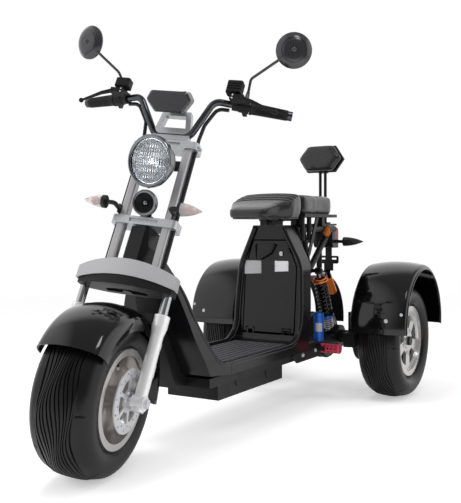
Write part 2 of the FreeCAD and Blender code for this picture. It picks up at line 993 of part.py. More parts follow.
def front_axle():
    x = lower_tube_half_spacing + slider_radius + seat_gap
    shaft = rod(V(-x - axle_nut_length, 0, tyre_radius), V(x + axle_nut_length, 0, tyre_radius), front_axle_radius)
    nuts = []
    for side in (-1, 1):
        start = V(side * x, 0, tyre_radius)
        nuts.append(rod(start, V(side * (x + axle_nut_length), 0, tyre_radius), axle_nut_radius))
    spacers = []
    hub_end = 0.5 * front_rim_width - hub_end_inset + hub_nose + body_gap
    for side in (-1, 1):
        inner = hub_end if side < 0 else disc_offset + 0.5 * disc_thickness + body_gap
        outer = lower_tube_half_spacing - slider_radius - seat_gap
        spacers.append(rod(V(side * inner, 0, tyre_radius), V(side * outer, 0, tyre_radius), axle_nut_radius))
    return fuse([shaft] + nuts + spacers)


def bowed_outline(half_width, bow, front_end, back_middle, back_end):
    front_middle = front_end + bow
    return [
        Part.Arc(V(-half_width, -front_end, 0), V(0, -front_middle, 0), V(half_width, -front_end, 0)).toShape(),
        Part.makeLine(V(half_width, -front_end, 0), V(half_width, back_end, 0)),
        Part.makeLine(V(half_width, back_end, 0), V(0.45 * half_width, back_middle, 0)),
        Part.makeLine(V(0.45 * half_width, back_middle, 0), V(-0.45 * half_width, back_middle, 0)),
        Part.makeLine(V(-0.45 * half_width, back_middle, 0), V(-half_width, back_end, 0)),
        Part.makeLine(V(-half_width, back_end, 0), V(-half_width, -front_end, 0)),
    ]


def crown():
    front_end = fork_lead + stanchion_radius + 3 * cover_thickness
    face = Part.Face(Part.Wire(bowed_outline(crown_half_width, crown_bow, front_end, crown_back, crown_end_back)))
    plate = face.extrude(V(0, 0, crown_top - crown_bottom))
    plate.translate(V(0, 0, crown_bottom))
    pocket_face = Part.Face(Part.Wire(bowed_outline(
        0.5 * lower_tube_half_spacing, 0.4 * crown_bow, fork_lead, 0.3 * crown_back, 0.3 * crown_back)))
    pocket = pocket_face.extrude(V(0, 0, yoke_pocket_depth))
    pocket.translate(V(0, 0, crown_bottom))
    stem_top = middle_yoke_top + stem_nut_height
    stem = rod(V(0, 0, crown_bottom), V(0, 0, stem_top), stem_radius)
    nut = rod(V(0, 0, middle_yoke_top + seat_gap), V(0, 0, stem_top), stem_nut_radius)
    holes = []
    for side in (-1, 1):
        x = side * lower_tube_half_spacing
        holes.append(rod(V(x, -fork_lead, crown_bottom - cut_overrun), V(x, -fork_lead, crown_top + cut_overrun),
                         stanchion_radius + seat_gap))
    return fuse([plate.cut([pocket] + holes), stem, nut])


def crown_cover():
    front_end = fork_lead + stanchion_radius + 3 * cover_thickness + seat_gap
    half = cover_half_width
    bow = crown_bow

    def strip(grow):
        reach = half + grow
        depth = front_end + grow
        arc = Part.Arc(V(-reach, -depth, 0), V(0, -depth - bow, 0), V(reach, -depth, 0)).toShape()
        lines = [
            arc,
            Part.makeLine(V(reach, -depth, 0), V(reach, cover_return - front_end, 0)),
            Part.makeLine(V(reach, cover_return - front_end, 0), V(-reach, cover_return - front_end, 0)),
            Part.makeLine(V(-reach, cover_return - front_end, 0), V(-reach, -depth, 0)),
        ]
        tall = cover_end_bottom + cover_rise + 2 * cover_height
        return Part.Face(Part.Wire(lines)).extrude(V(0, 0, tall))

    shell = strip(cover_thickness).cut(strip(0))
    reach = half + 2 * cover_thickness
    low = cover_end_bottom
    high = low + cover_height
    arch = [
        Part.Arc(V(-reach, 0, low), V(0, 0, low + cover_rise), V(reach, 0, low)).toShape(),
        Part.makeLine(V(reach, 0, low), V(reach, 0, high - 6 * cover_thickness / 3)),
        Part.Arc(V(reach, 0, high - 6 * cover_thickness / 3), V(0, 0, high + 1.4 * cover_rise),
                 V(-reach, 0, high - 6 * cover_thickness / 3)).toShape(),
        Part.makeLine(V(-reach, 0, high - 6 * cover_thickness / 3), V(-reach, 0, low)),
    ]
    front = Part.Face(Part.Wire(arch)).extrude(V(0, 4 * half, 0))
    front.translate(V(0, -2 * half, 0))
    return shell.common(front)


def yoke_plate(bottom, thickness, half_width, front, back):
    plate = block(-half_width, half_width, -front, back, bottom, bottom + thickness)
    plate = rounded(plate, yoke_corner, Z_AXIS)
    pocket = block(-upper_tube_half_spacing + upper_tube_size, upper_tube_half_spacing - upper_tube_size,
                   -front - cut_overrun, -front + yoke_pocket_depth,
                   bottom + 0.28 * thickness, bottom + 0.72 * thickness)
    size = upper_tube_size + 2 * seat_gap
    holes = [pocket]
    for side in (-1, 1):
        holes.append(square_tube(side * upper_tube_half_spacing, -fork_lead, bottom - cut_overrun,
                                 bottom + thickness + cut_overrun, size, upper_tube_corner + seat_gap))
    return plate.cut(holes)


def middle_yoke():
    plate = yoke_plate(middle_yoke_bottom, middle_yoke_thickness, middle_yoke_half_width, middle_yoke_front,
                       middle_yoke_back)
    low = middle_yoke_bottom - cut_overrun
    high = middle_yoke_top + cut_overrun
    stem_hole = rod(V(0, 0, low), V(0, 0, high), stem_radius + seat_gap)
    return plate.cut([stem_hole] + loom_holes(middle_yoke_bottom, middle_yoke_top))


def loom_holes(bottom, top):
    low = V(loom_x(), loom_back(), bottom - cut_overrun)
    high = V(loom_x(), loom_back(), top + cut_overrun)
    hole = rod(low, high, loom_radius + seat_gap)
    return [hole, mirrored(hole)]


def riser_frame():
    low = top_yoke_bottom + top_yoke_thickness
    high = riser_top
    back0 = bar_centre_back - 0.5 * riser_thickness
    back1 = bar_centre_back + 0.5 * riser_thickness
    wide = riser_half_width_low
    narrow = riser_half_width_high
    outline = [(-wide, low), (wide, low), (wide, bar_centre_height + bar_radius), (narrow, high), (-narrow, high),
               (-wide, bar_centre_height + bar_radius)]
    plate = front_prism(outline, back0, back1)
    leg = riser_leg_width
    cuts = []
    web_low = bar_centre_height + bar_radius + riser_web_height * 0.5
    web_high = high - riser_bridge_height
    slope = (wide - narrow) / (high - bar_centre_height - bar_radius)
    low_half = wide - slope * (web_low - bar_centre_height - bar_radius) - leg
    high_half = wide - slope * (web_high - bar_centre_height - bar_radius) - leg
    cuts.append(front_prism([(-low_half, web_low), (low_half, web_low), (high_half, web_high),
                             (-high_half, web_high)], back0 - cut_overrun, back1 + cut_overrun))
    foot_high = bar_centre_height - bar_radius - riser_bridge_height * 0.5
    foot_half = wide - 2 * leg
    cuts.append(block(-foot_half, foot_half, back0 - cut_overrun, back1 + cut_overrun, low - cut_overrun,
                      foot_high))
    return plate.cut(cuts)


def yokes():
    top = yoke_plate(top_yoke_bottom, top_yoke_thickness, top_yoke_half_width, middle_yoke_front, middle_yoke_back)
    bolts = []
    for side in (-1, 1):
        x = side * top_yoke_half_width
        for back in (-fork_lead - yoke_bolt_radius, -fork_lead + yoke_bolt_radius):
            bolts.append(rod(V(x - side * yoke_bolt_length, back, top_yoke_bottom + 0.5 * top_yoke_thickness),
                             V(x + side * yoke_bolt_length, back, top_yoke_bottom + 0.5 * top_yoke_thickness),
                             0.6 * yoke_bolt_radius))
    upper = fuse([top, riser_frame()] + bolts).cut(loom_holes(top_yoke_bottom, upper_tube_top))
    upper = upper.cut(handlebar_tube(bar_radius + seat_gap))
    size = upper_tube_size + 2 * seat_gap
    for side in (-1, 1):
        upper = upper.cut(square_tube(side * upper_tube_half_spacing, -fork_lead, top_yoke_bottom - cut_overrun,
                                      upper_tube_top + cut_overrun, size, upper_tube_corner + seat_gap))
    return group([upper, middle_yoke()])


# Handlebar and controls

def bar_points():
    right = [V(0, bar_centre_back, bar_centre_height), V(bar_centre_half, bar_centre_back, bar_centre_height),
             V(bar_shoulder_x, bar_shoulder_back, bar_shoulder_height),
             V(bar_end_x, bar_end_back, bar_end_height)]
    left = [V(-p.x, p.y, p.z) for p in reversed(right[1:])]
    return left + right[1:]


def handlebar_tube(radius):
    return bent_rod(bar_points(), radius, bar_bend_radius)


def handlebar():
    end = V(bar_end_x, bar_end_back, bar_end_height)
    weight = rod(end, end + bar_direction() * bar_weight_length, bar_weight_radius)
    return fuse([handlebar_tube(bar_radius), weight, mirrored(weight)])


def bar_at(distance_from_end):
    return V(bar_end_x, bar_end_back, bar_end_height) - bar_direction() * distance_from_end


def bar_direction():
    start = V(bar_shoulder_x, bar_shoulder_back, bar_shoulder_height)
    return (V(bar_end_x, bar_end_back, bar_end_height) - start).normalize()


def sleeve(distance_from_end, length, radius):
    along = bar_direction()
    outer = V(bar_end_x, bar_end_back, bar_end_height) - along * distance_from_end
    return rod(outer - along * length, outer, radius)


def bar_bore():
    along = bar_direction()
    end = V(bar_end_x, bar_end_back, bar_end_height)
    return rod(end - along * bar_bore_length, end + along * grip_flange_length, bar_radius + seat_gap)


def grips():
    along = bar_direction()
    end = V(bar_end_x, bar_end_back, bar_end_height) - along * seat_gap
    body = cone_between(end - along * grip_length, end, grip_root_radius, grip_radius)
    flange = sleeve(grip_length - grip_flange_length, grip_flange_length, grip_flange_radius)
    return pair(fuse([body, flange]).cut(bar_bore()))


def switchgear():
    housing = sleeve(grip_length + seat_gap, switch_length, switch_radius)
    centre = bar_at(grip_length + 0.5 * switch_length)
    half = 0.2 * switch_length
    box = block(centre.x - half, centre.x + half, centre.y - 0.4 * switch_radius, centre.y + switch_radius * 1.25,
                centre.z - switch_radius * 1.05, centre.z + 0.3 * switch_radius)
    button = ball(V(centre.x, centre.y + switch_radius * 1.1, centre.z), 0.35 * switch_radius)
    boss_top = mirror_foot() - V(0, 0, seat_gap)
    boss = rod(boss_top - V(0, 0, switch_radius), boss_top, mirror_boss_radius)
    return pair(fuse([housing, box, button, boss]).cut(bar_bore()))


def lever_set(tank_height, fin_count):
    gap = grip_length + switch_length + 2 * seat_gap
    clamp = sleeve(gap, clamp_length, clamp_radius)
    spot = bar_at(gap + clamp_length * half_share)
    half = reservoir_width * half_share
    base = spot.z + clamp_radius * reservoir_seat_share
    front = spot.y - lever_forward
    near = spot.y - switch_radius - lever_clear
    low_tank = base + reservoir_lift
    tank = block(spot.x - half, spot.x + half, near - reservoir_depth, near, low_tank, low_tank + tank_height)
    tank = rounded(tank, reservoir_corner, Z_AXIS)
    grooves = []
    for index in range(fin_count):
        z = low_tank + reservoir_fin_pitch * (index + 1)
        band = block(spot.x - reservoir_width, spot.x + reservoir_width, near - 2 * reservoir_depth, near + cut_overrun, z,
                     z + reservoir_fin_gap)
        core = block(spot.x - half + reservoir_fin_depth, spot.x + half - reservoir_fin_depth,
                     near - reservoir_depth + reservoir_fin_depth, near + 2 * cut_overrun, z, z + reservoir_fin_gap)
        grooves.append(band.cut(core))
    if grooves:
        tank = tank.cut(grooves)
    half_clamp = clamp_length * lever_body_share
    low = spot.z - lever_body_half
    body = block(spot.x - half_clamp, spot.x + half_clamp, front, spot.y - clamp_radius * lever_root_share, low, low_tank)
    outer = block(spot.x, spot.x + lever_arm_length, front, near, low, spot.z + lever_body_half)
    pivot = V(spot.x + lever_pivot_reach, front + lever_width * half_share, spot.z)
    tip = V(bar_end_x - 2 * lever_ball_radius, bar_end_back - lever_tip_forward, bar_end_height - lever_drop)
    knee = pivot + (tip - pivot) * lever_knee_share - V(0, lever_width * half_share, 0)
    blade = fuse([cone_between(pivot, knee, lever_root_radius, lever_width * half_share),
                  ball(knee, lever_width * half_share + seat_gap),
                  cone_between(knee, tip, lever_width * half_share, lever_tip_radius),
                  ball(tip, lever_ball_radius)])
    return fuse([clamp, tank, body, outer, blade]).cut(bar_bore())


def brake_levers():
    return group([lever_set(left_reservoir_height, reservoir_fin_count), mirrored(lever_set(reservoir_height, 0))])


def mirror_disc_frame(shape, turn_deg, side):
    placed = shape.copy()
    placed.rotate(ZERO, Z_AXIS, turn_deg)
    placed.rotate(ZERO, X_AXIS, rake_deg)
    placed.translate(V(side * mirror_x, mirror_back, mirror_height))
    return placed


def mirror_foot():
    spot = bar_at(grip_length + 0.5 * switch_length)
    return spot + V(0, 0, switch_radius + mirror_boss_height)


def mirror_turn(side):
    return mirror_turn_left_deg if side > 0 else -mirror_turn_right_deg


def mirror_shell():
    r = mirror_radius
    d = mirror_depth
    edges = [
        Part.makeLine(V(0, 0, 0), V(r, 0, 0)),
        Part.Arc(V(r, 0, 0), V(0.78 * r, -0.72 * d, 0), V(0, -d, 0)).toShape(),
        Part.makeLine(V(0, -d, 0), V(0, 0, 0)),
    ]
    cap = Part.Face(Part.Wire(edges)).revolve(ZERO, Y_AXIS, 360)
    band = Part.makeCylinder(r, mirror_rim + mirror_glass_thickness, ZERO, Y_AXIS)
    recess = Part.makeCylinder(r - mirror_rim, mirror_glass_thickness + cut_overrun,
                               V(0, mirror_rim, 0), Y_AXIS)
    return fuse([cap, band]).cut(recess)


def mirror_glass_disc():
    return Part.makeCylinder(mirror_radius - mirror_rim - seat_gap, mirror_glass_thickness - seat_gap,
                             V(0, mirror_rim + seat_gap, 0), Y_AXIS)


def mirrors():
    made = []
    for side in (-1, 1):
        shell = mirror_disc_frame(mirror_shell(), mirror_turn(side), side)
        foot = mirror_foot()
        foot = V(side * foot.x, foot.y, foot.z)
        neck = foot + V(0, 0, mirror_neck_length)
        bend = V(side * mirror_bend_x, mirror_bend_back, mirror_bend_height)
        outward = mirror_disc_frame(Part.Vertex(V(0, -mirror_depth, 0)), mirror_turn(side), side)
        knuckle = outward.Point
        stem = bent_rod([foot, neck, bend, knuckle], mirror_stem_radius, mirror_bend_round)
        joint = ball(knuckle, mirror_ball_radius)
        nut = cone_between(foot, neck + V(0, 0, mirror_sleeve_length), mirror_sleeve_radius, mirror_sleeve_tip_radius)
        made.append(fuse([shell, stem.cut(shell), joint, nut]))
    return group(made)


def mirror_glasses():
    return group([mirror_disc_frame(mirror_glass_disc(), mirror_turn(side), side) for side in (-1, 1)])


def display():
    half = 0.5 * display_height
    low = -half
    high = half
    wide = 0.15 * half
    outline = [(-display_bottom_half_width, low), (display_bottom_half_width, low), (display_half_width, wide),
               (display_top_half_width, high), (-display_top_half_width, high), (-display_half_width, wide)]
    deep = display_thickness * half_share
    pod = front_slab(outline, [display_corner] * len(outline), -deep, deep)
    face_edges = [e for e in pod.Edges if abs(e.BoundBox.YMax - e.BoundBox.YMin) < seat_gap]
    pod = pod.makeChamfer(display_chamfer, face_edges)
    pod.rotate(ZERO, X_AXIS, display_tilt_deg)
    pod.translate(V(0, display_back, display_centre))
    top = riser_top
    bracket_half = 0.5 * display_bracket_width
    thickness = display_bracket_thickness
    shelf = block(-bracket_half, bracket_half, display_back, bar_centre_back + 0.5 * riser_thickness,
                  top + seat_gap, top + seat_gap + thickness)
    return fuse([pod, shelf])


# Lamp, horn and indicators

def facing_forward(shape, back, along, turn_deg):
    placed = shape.copy()
    placed.rotate(ZERO, Z_AXIS, turn_deg)
    placed.rotate(ZERO, X_AXIS, rake_deg)
    placed.translate(V(0, back, along))
    return placed


def turned_about_y(points_ry):
    face = closed_face([V(r, y, 0) for r, y in points_ry])
    return face.revolve(ZERO, Y_AXIS, 360)


def lamp_bowl():
    r = lamp_radius
    inner = r - lamp_bezel_width
    depth = lamp_bowl_depth
    end = lamp_bowl_end_radius
    edges = [
        Part.makeLine(V(inner, 0, 0), V(r, 0, 0)),
        Part.makeLine(V(r, 0, 0), V(r, lamp_bezel_depth, 0)),
        Part.makeLine(V(r, lamp_bezel_depth, 0), V(inner, lamp_bezel_depth, 0)),
        Part.Arc(V(inner, lamp_bezel_depth, 0), V(0.82 * inner, 0.72 * depth, 0), V(end, depth, 0)).toShape(),
        Part.makeLine(V(end, depth, 0), V(0, depth, 0)),
        Part.makeLine(V(0, depth, 0), V(0, depth - lamp_wall, 0)),
        Part.makeLine(V(0, depth - lamp_wall, 0), V(end - lamp_wall, depth - lamp_wall, 0)),
        Part.Arc(V(end - lamp_wall, depth - lamp_wall, 0), V(0.82 * inner - lamp_wall, 0.72 * depth - lamp_wall, 0),
                 V(inner - lamp_wall, lamp_bezel_depth, 0)).toShape(),
        Part.makeLine(V(inner - lamp_wall, lamp_bezel_depth, 0), V(inner - lamp_wall, lamp_wall, 0)),
        Part.makeLine(V(inner - lamp_wall, lamp_wall, 0), V(inner, lamp_wall, 0)),
        Part.makeLine(V(inner, lamp_wall, 0), V(inner, 0, 0)),
    ]
    return Part.Face(Part.Wire(edges)).revolve(ZERO, Y_AXIS, 360)


def headlight():
    return facing_forward(lamp_bowl(), lamp_back, lamp_centre, lamp_turn_deg)


def headlight_lens():
    r = lamp_radius - lamp_bezel_width - seat_gap
    bulge = lamp_lens_bulge
    wall = lamp_wall
    edges = [
        Part.Arc(V(0, -bulge, 0), V(0.6 * r, -0.66 * bulge, 0), V(r, -seat_gap, 0)).toShape(),
        Part.makeLine(V(r, -seat_gap, 0), V(r, wall - seat_gap, 0)),
        Part.makeLine(V(r, wall - seat_gap, 0), V(0, wall - seat_gap, 0)),
        Part.makeLine(V(0, wall - seat_gap, 0), V(0, -bulge, 0)),
    ]
    lens = Part.Face(Part.Wire(edges)).revolve(ZERO, Y_AXIS, 360)
    if lens.Volume < 0:
        lens.reverse()
    return facing_forward(lens, lamp_back, lamp_centre, lamp_turn_deg)


def lamp_bracket():
    inner = upper_tube_half_spacing - 0.5 * upper_tube_size - seat_gap
    half = 0.5 * lamp_ear_width
    rise = math.sin(rake) * lamp_bowl_depth
    centre = lamp_centre + rise
    bar = block(-inner, inner, lamp_bracket_back, lamp_bracket_back + lamp_ear_thickness, centre - half, centre + half)
    boss = Part.makeCylinder(lamp_boss_radius, lamp_boss_radius + lamp_ear_thickness,
                             V(0, lamp_bowl_depth + seat_gap, 0), Y_AXIS)
    boss = facing_forward(boss, lamp_back, lamp_centre, lamp_turn_deg)
    return fuse([bar, boss])


def horn():
    r = horn_radius
    points = [(0, horn_depth), (0, horn_cone_depth), (horn_dome_radius, horn_cone_depth),
              (r - horn_ring, horn_ring), (r - horn_ring, 0), (r, 0), (r, 0.6 * horn_depth),
              (0.7 * r, horn_depth)]
    shell = turned_about_y(points)
    dome = ball(V(0, horn_cone_depth, 0), horn_dome_radius)
    whole = fuse([shell, dome])
    return facing_forward(whole, horn_back, horn_centre, 0)


def horn_bracket():
    half = 0.4 * horn_radius
    low = middle_yoke_top + seat_gap
    rear = -stem_nut_radius - body_gap
    front = rear - lamp_ear_thickness
    base = block(-half, half, front - 0.6 * lamp_ear_thickness, rear, low, low + lamp_ear_thickness)
    upright = block(-half, half, front, rear, low, horn_centre + 2 * half)
    boss = Part.makeCylinder(0.3 * horn_radius, horn_radius, V(0, horn_depth + seat_gap, 0), Y_AXIS)
    boss = facing_forward(boss, horn_back, horn_centre, 0)
    behind = block(-horn_radius, horn_radius, rear, horn_radius, low, horn_centre + 2 * horn_radius)
    return fuse([base, upright, boss.cut(behind)])


def indicator(base_x, tip_x, y, z):
    base = V(base_x, y, z)
    collar = rod(base, base + V(indicator_collar, 0, 0), indicator_radius)
    edges = [
        Part.makeLine(V(base_x + indicator_collar, y, z), V(base_x + indicator_collar, y, z + indicator_radius)),
        Part.Arc(V(base_x + indicator_collar, y, z + indicator_radius),
                 V(0.45 * base_x + 0.55 * tip_x, y, z + 0.72 * indicator_radius), V(tip_x, y, z)).toShape(),
        Part.makeLine(V(tip_x, y, z), V(base_x + indicator_collar, y, z)),
    ]
    cone = Part.Face(Part.Wire(edges)).revolve(V(0, y, z), X_AXIS, 360)
    return fuse([collar, cone])


def front_indicators():
    lens = indicator(indicator_base_x, indicator_tip_x, indicator_back, indicator_height)
    tube_side = upper_tube_half_spacing + 0.5 * upper_tube_size + seat_gap
    half = 0.5 * indicator_clamp_width
    clamp = block(tube_side, tube_side + lamp_ear_thickness, -fork_lead - half,
                  loom_back() - loom_radius - 2 * seat_gap,
                  indicator_height - 0.5 * indicator_clamp_height, indicator_height + 0.5 * indicator_clamp_height)
    start = V(tube_side + 0.5 * lamp_ear_thickness, -fork_lead - half + indicator_stem_radius, indicator_height)
    elbow = V(0.5 * (start.x + indicator_base_x), indicator_back, indicator_height)
    stem = bent_rod([start, V(start.x, indicator_back, indicator_height),
                     V(indicator_base_x + 0.2 * indicator_collar, indicator_back, indicator_height)],
                    indicator_stem_radius, 1.3 * indicator_stem_radius)
    return pair(fuse([lens, clamp, stem]))


def guard_curve(half, top, corner, slope_deg, inset, foot, at):
    slope = math.radians(slope_deg)
    crown_half = half - corner + corner * math.sin(slope)
    crown_radius = crown_half / math.sin(slope)
    corner_r = top - crown_radius * (1 - math.cos(slope)) - corner * math.cos(slope)
    around = corner - inset
    middle = 0.5 * (0.5 * math.pi - slope)
    points = []
    for side in (-1, 1):
        hub_x = side * (half - corner)
        points.append([at(side * (half - inset), foot), at(side * (half - inset), corner_r),
                       at(hub_x + side * around * math.cos(middle), corner_r + around * math.sin(middle)),
                       at(hub_x + side * around * math.sin(slope), corner_r + around * math.cos(slope))])
    left, right = points
    return [
        Part.makeLine(left[0], left[1]), Part.Arc(left[1], left[2], left[3]).toShape(),
        Part.Arc(left[3], at(0, top - inset), right[3]).toShape(),
        Part.Arc(right[3], right[2], right[1]).toShape(), Part.makeLine(right[1], right[0]),
    ]


def guard_section(half, top, corner, slope_deg, low, lip, wall, at):
    edges = guard_curve(half, top, corner, slope_deg, 0, low + lip, at)
    edges += guard_curve(half, top, corner, slope_deg, wall, low, at)
    for side in (-1, 1):
        if lip > 0:
            edges.append(Part.makeLine(at(side * half, low + lip), at(side * (half + lip), low + lip)))
            edges.append(Part.makeLine(at(side * (half + lip), low + lip), at(side * (half + lip), low)))
        edges.append(Part.makeLine(at(side * (half + lip), low), at(side * (half - wall), low)))
    return Part.Face(Part.Wire(Part.__sortEdges__(edges)))


def over_front_wheel(section):
    centre = V(0, 0, tyre_radius)
    guard = section.revolve(centre, X_AXIS, front_guard_front_deg - front_guard_rear_deg - half_turn_deg)
    guard.rotate(centre, X_AXIS, -front_guard_front_deg)
    return guard


def front_guard():
    return over_front_wheel(guard_section(
        front_guard_half_width, front_guard_top, front_guard_corner, front_guard_slope_deg,
        front_guard_top - front_guard_skirt, front_guard_lip, guard_wall, lambda x, radius: V(x, -radius, tyre_radius)))


# The space that the front mudguard fills, with its clearance
def front_guard_space():
    low = front_guard_top - front_guard_skirt
    reach = front_guard_half_width + seat_gap

    def at(x, radius):
        return V(x, -radius, tyre_radius)

    edges = guard_curve(front_guard_half_width, front_guard_top, front_guard_corner, front_guard_slope_deg,
                        -seat_gap, low, at)
    edges.append(Part.makeLine(at(reach, low), at(-reach, low)))
    return over_front_wheel(Part.Face(Part.Wire(Part.__sortEdges__(edges))))


# Brackets that run from the tops of the lower legs onto the shoulders of the mudguard
def front_guard_stays():
    x0 = front_guard_half_width - guard_stay_lap
    x1 = lower_tube_half_spacing - slider_collar_radius - seat_gap
    high = slider_top - seat_gap
    half = 0.5 * guard_stay_depth
    arm = block(x0, x1, -fork_lead - half, -fork_lead + half, high - guard_stay_height, high)
    return pair(tilted(arm).cut(front_guard_space()))


def front_caliper():
    centre_r = disc_radius - caliper_overlap + 0.5 * caliper_depth
    body = block(caliper_inner_x, caliper_outer_x, centre_r - 0.5 * caliper_depth,
                 centre_r + 0.5 * caliper_depth, tyre_radius - 0.5 * caliper_length,
                 tyre_radius + 0.5 * caliper_length)
    body = rounded(body, 0.16 * caliper_depth, X_AXIS)
    slot = block(disc_offset - 0.5 * caliper_slot, disc_offset + 0.5 * caliper_slot,
                 centre_r - 0.5 * caliper_depth - cut_overrun, disc_radius + 2 * cut_overrun,
                 tyre_radius - caliper_length, tyre_radius + caliper_length)
    body = body.cut(slot)
    body.rotate(V(0, 0, tyre_radius), X_AXIS, caliper_angle_deg)
    plate_x = lower_tube_half_spacing - 0.5 * caliper_bracket_thickness
    half = 0.3 * caliper_length
    plate = block(plate_x, plate_x + caliper_bracket_thickness, 0, caliper_bracket_reach,
                  tyre_radius - 0.2 * half, tyre_radius + 2 * half)
    return fuse([body, plate]).cut(slider_clearance())


def loom_x():
    return upper_tube_half_spacing + 0.5 * upper_tube_size + loom_radius + seat_gap


def loom_back():
    return -fork_lead + 0.25 * upper_tube_size


def loom():
    start = V(bar_centre_half, bar_centre_back, bar_centre_height)
    shoulder = V(bar_shoulder_x, bar_shoulder_back, bar_shoulder_height)
    low = V(loom_x(), loom_back(), crown_top + loom_foot_lift)
    merge = start + (shoulder - start) * loom_merge_share + V(loom_side, loom_behind, -loom_under)
    over = V(loom_x(), loom_back(), upper_tube_top + loom_foot_lift)
    corner = shoulder + V(loom_corner_side, loom_corner_behind, -loom_corner_under)
    end = bar_at(loom_end_reach) + V(0, loom_end_behind, -loom_end_under)
    return bent_rod([low, over, merge, corner, end], loom_radius, [loom_bend, loom_bend, loom_bend])


def cables():
    return group([loom(), mirrored(loom())])


# Frame and body

def head_tube():
    bottom = V(0, 0, head_tube_bottom)
    top = V(0, 0, head_tube_bottom + head_tube_length)
    return tilted(rod(bottom, top, head_tube_radius))


def stem_bore():
    low = V(0, 0, head_tube_bottom - head_tube_length)
    high = V(0, 0, head_tube_bottom + 2 * head_tube_length)
    return tilted(rod(low, high, stem_radius + running_gap))


def shield_front():
    return [
        (floor_front_y - shield_toe_ahead, floor_bottom + shield_toe_lift),
        (shield_knee_y - shield_thickness, shield_knee_z - shield_knee_drop),
        (shield_top_y - shield_thickness, shield_top_z),
    ]


def spine(grow):
    toe, knee, head = shield_front()
    gap = seat_gap
    depth = down_tube_depth + grow
    outline = [
        (head[0] - gap + grow, head[1] + down_tube_head + grow), (head[0] - gap + grow, head[1]),
        (knee[0] - gap + grow, knee[1]), (toe[0] - gap, toe[1]), (floor_front_y, floor_bottom - gap),
        (floor_front_y + down_tube_toe, floor_bottom - gap),
        (floor_front_y + down_tube_toe, floor_bottom - rail_height - gap),
        (toe[0] - depth, floor_bottom - rail_height - gap), (knee[0] - depth, knee[1] - 0.4 * depth),
        (head[0] - depth, head[1]), (head[0] - depth, head[1] + down_tube_head + grow),
    ]
    half = down_tube_half_width + grow
    return side_prism(outline, -half, half)


def main_frame():
    rail_top = floor_bottom - seat_gap
    rail_bottom = rail_top - rail_height
    outer = rail_half_spacing + rail_width
    front = floor_front_y - down_tube_toe
    rail = block(rail_half_spacing + seat_gap, outer, front, rail_rear_y, rail_bottom, rail_top)
    cross = block(-outer, outer, front, front + rail_width, rail_bottom, rail_top)
    rear_cross = block(-outer, outer, rail_rear_y - rail_width, rail_rear_y, rail_bottom, rail_top)
    beam = block(beam_inner_x, beam_outer_x, rail_rear_y - rail_width, beam_rear_y, rail_bottom, rail_top)
    pivot = rod(V(-outer, pivot_y, pivot_z), V(outer, pivot_y, pivot_z), 0.5 * pivot_radius)
    pieces = [head_tube(), spine(0), rail, mirrored(rail), cross, rear_cross, beam, mirrored(beam), pivot,
              rear_frame()]
    return fuse(pieces).cut(stem_bore())


def rear_frame():
    side_x = seat_rail_half_spacing
    mount_x = shock_head_x - 3.3 * cross_tube_radius
    upright = rod(V(side_x, upright_y, floor_bottom - 0.5 * rail_height), V(side_x, upright_y, seat_rail_z),
                  upright_radius)
    rail = rod(V(side_x, seat_rail_front_y, seat_rail_z), V(side_x, seat_rail_rear_y, seat_rail_z),
               rail_tube_radius)
    mount = V(mount_x, shock_mount_y, shock_mount_z)
    brace = rod(V(side_x, seat_rail_rear_y - 3 * rail_tube_radius, seat_rail_z), mount, cross_tube_radius)
    drop = rod(V(side_x, shock_mount_y - 2 * rail_tube_radius, seat_rail_z), mount, 0.9 * cross_tube_radius)
    foot_brace = rod(mount, V(side_x, upright_y, floor_top), 0.8 * cross_tube_radius)
    cross = rod(V(0, shock_mount_y, shock_mount_z), mount, frame_tie_radius)
    pin_end = shock_head_x + 0.5 * shock_eye_width + shock_nut_length
    pin = rod(V(0, shock_mount_y, shock_mount_z), V(pin_end, shock_mount_y, shock_mount_z), shock_pin_radius)
    boss = rod(V(side_x, upright_y, stay_foot_z), V(stay_x - seat_gap, upright_y, stay_foot_z), stay_boss_radius)
    halves = [upright, rail, brace, drop, foot_brace, cross, ball(mount, frame_joint_radius), pin, boss]
    ties = []
    for y in (seat_rail_front_y + rail_tube_radius, seat_rail_rear_y - rail_tube_radius):
        ties.append(rod(V(-side_x, y, seat_rail_z), V(side_x, y, seat_rail_z), frame_tie_radius))
    reach = centre_guard_stay_y - 0.5 * centre_guard_stay_thickness - centre_guard_y
    guard_top = centre_guard_z + math.sqrt(centre_guard_radius ** 2 - reach ** 2)
    half = 0.5 * centre_guard_stay_width
    stay = block(-half, half, centre_guard_stay_y - 0.5 * centre_guard_stay_thickness,
                 centre_guard_stay_y + 0.5 * centre_guard_stay_thickness, guard_top + body_gap,
                 seat_rail_z)
    return fuse(halves + [mirrored(h) for h in halves] + ties + [stay])


def neck_cover():
    low = head_tube_bottom + neck_clearance
    high = head_tube_bottom + head_tube_length - neck_clearance
    half = neck_half_width
    cut = neck_chamfer
    outline = [(-half + cut, -neck_front), (half - cut, -neck_front), (half, -neck_front + cut),
               (half, neck_back), (-half, neck_back), (-half, -neck_front + cut)]
    wide = plan_prism(outline, low, high)
    face_points = [(-half, low + 0.62 * (high - low)), (-0.72 * half, low), (0.72 * half, low),
                   (half, low + 0.62 * (high - low)), (0.76 * half, high), (-0.76 * half, high)]
    coffin = front_prism(face_points, -2 * neck_front, 2 * neck_back)
    hollow = rod(V(0, 0, low - cut_overrun), V(0, 0, high + cut_overrun), head_tube_radius + seat_gap)
    return tilted(wide.common(coffin).cut(hollow)).cut(spine(seat_gap))


def shield_profile(lift):
    return [
        (shield_top_y - lift, shield_top_z), (shield_knee_y - lift, shield_knee_z),
        (floor_front_y - lift, floor_top - lift), (front_seam_y - panel_seam, floor_top - lift),
        (front_seam_y - panel_seam, floor_bottom), (floor_front_y - shield_toe_ahead, floor_bottom + shield_toe_lift),
        (shield_knee_y - shield_thickness, shield_knee_z - shield_knee_drop),
        (shield_top_y - shield_thickness, shield_top_z),
    ]


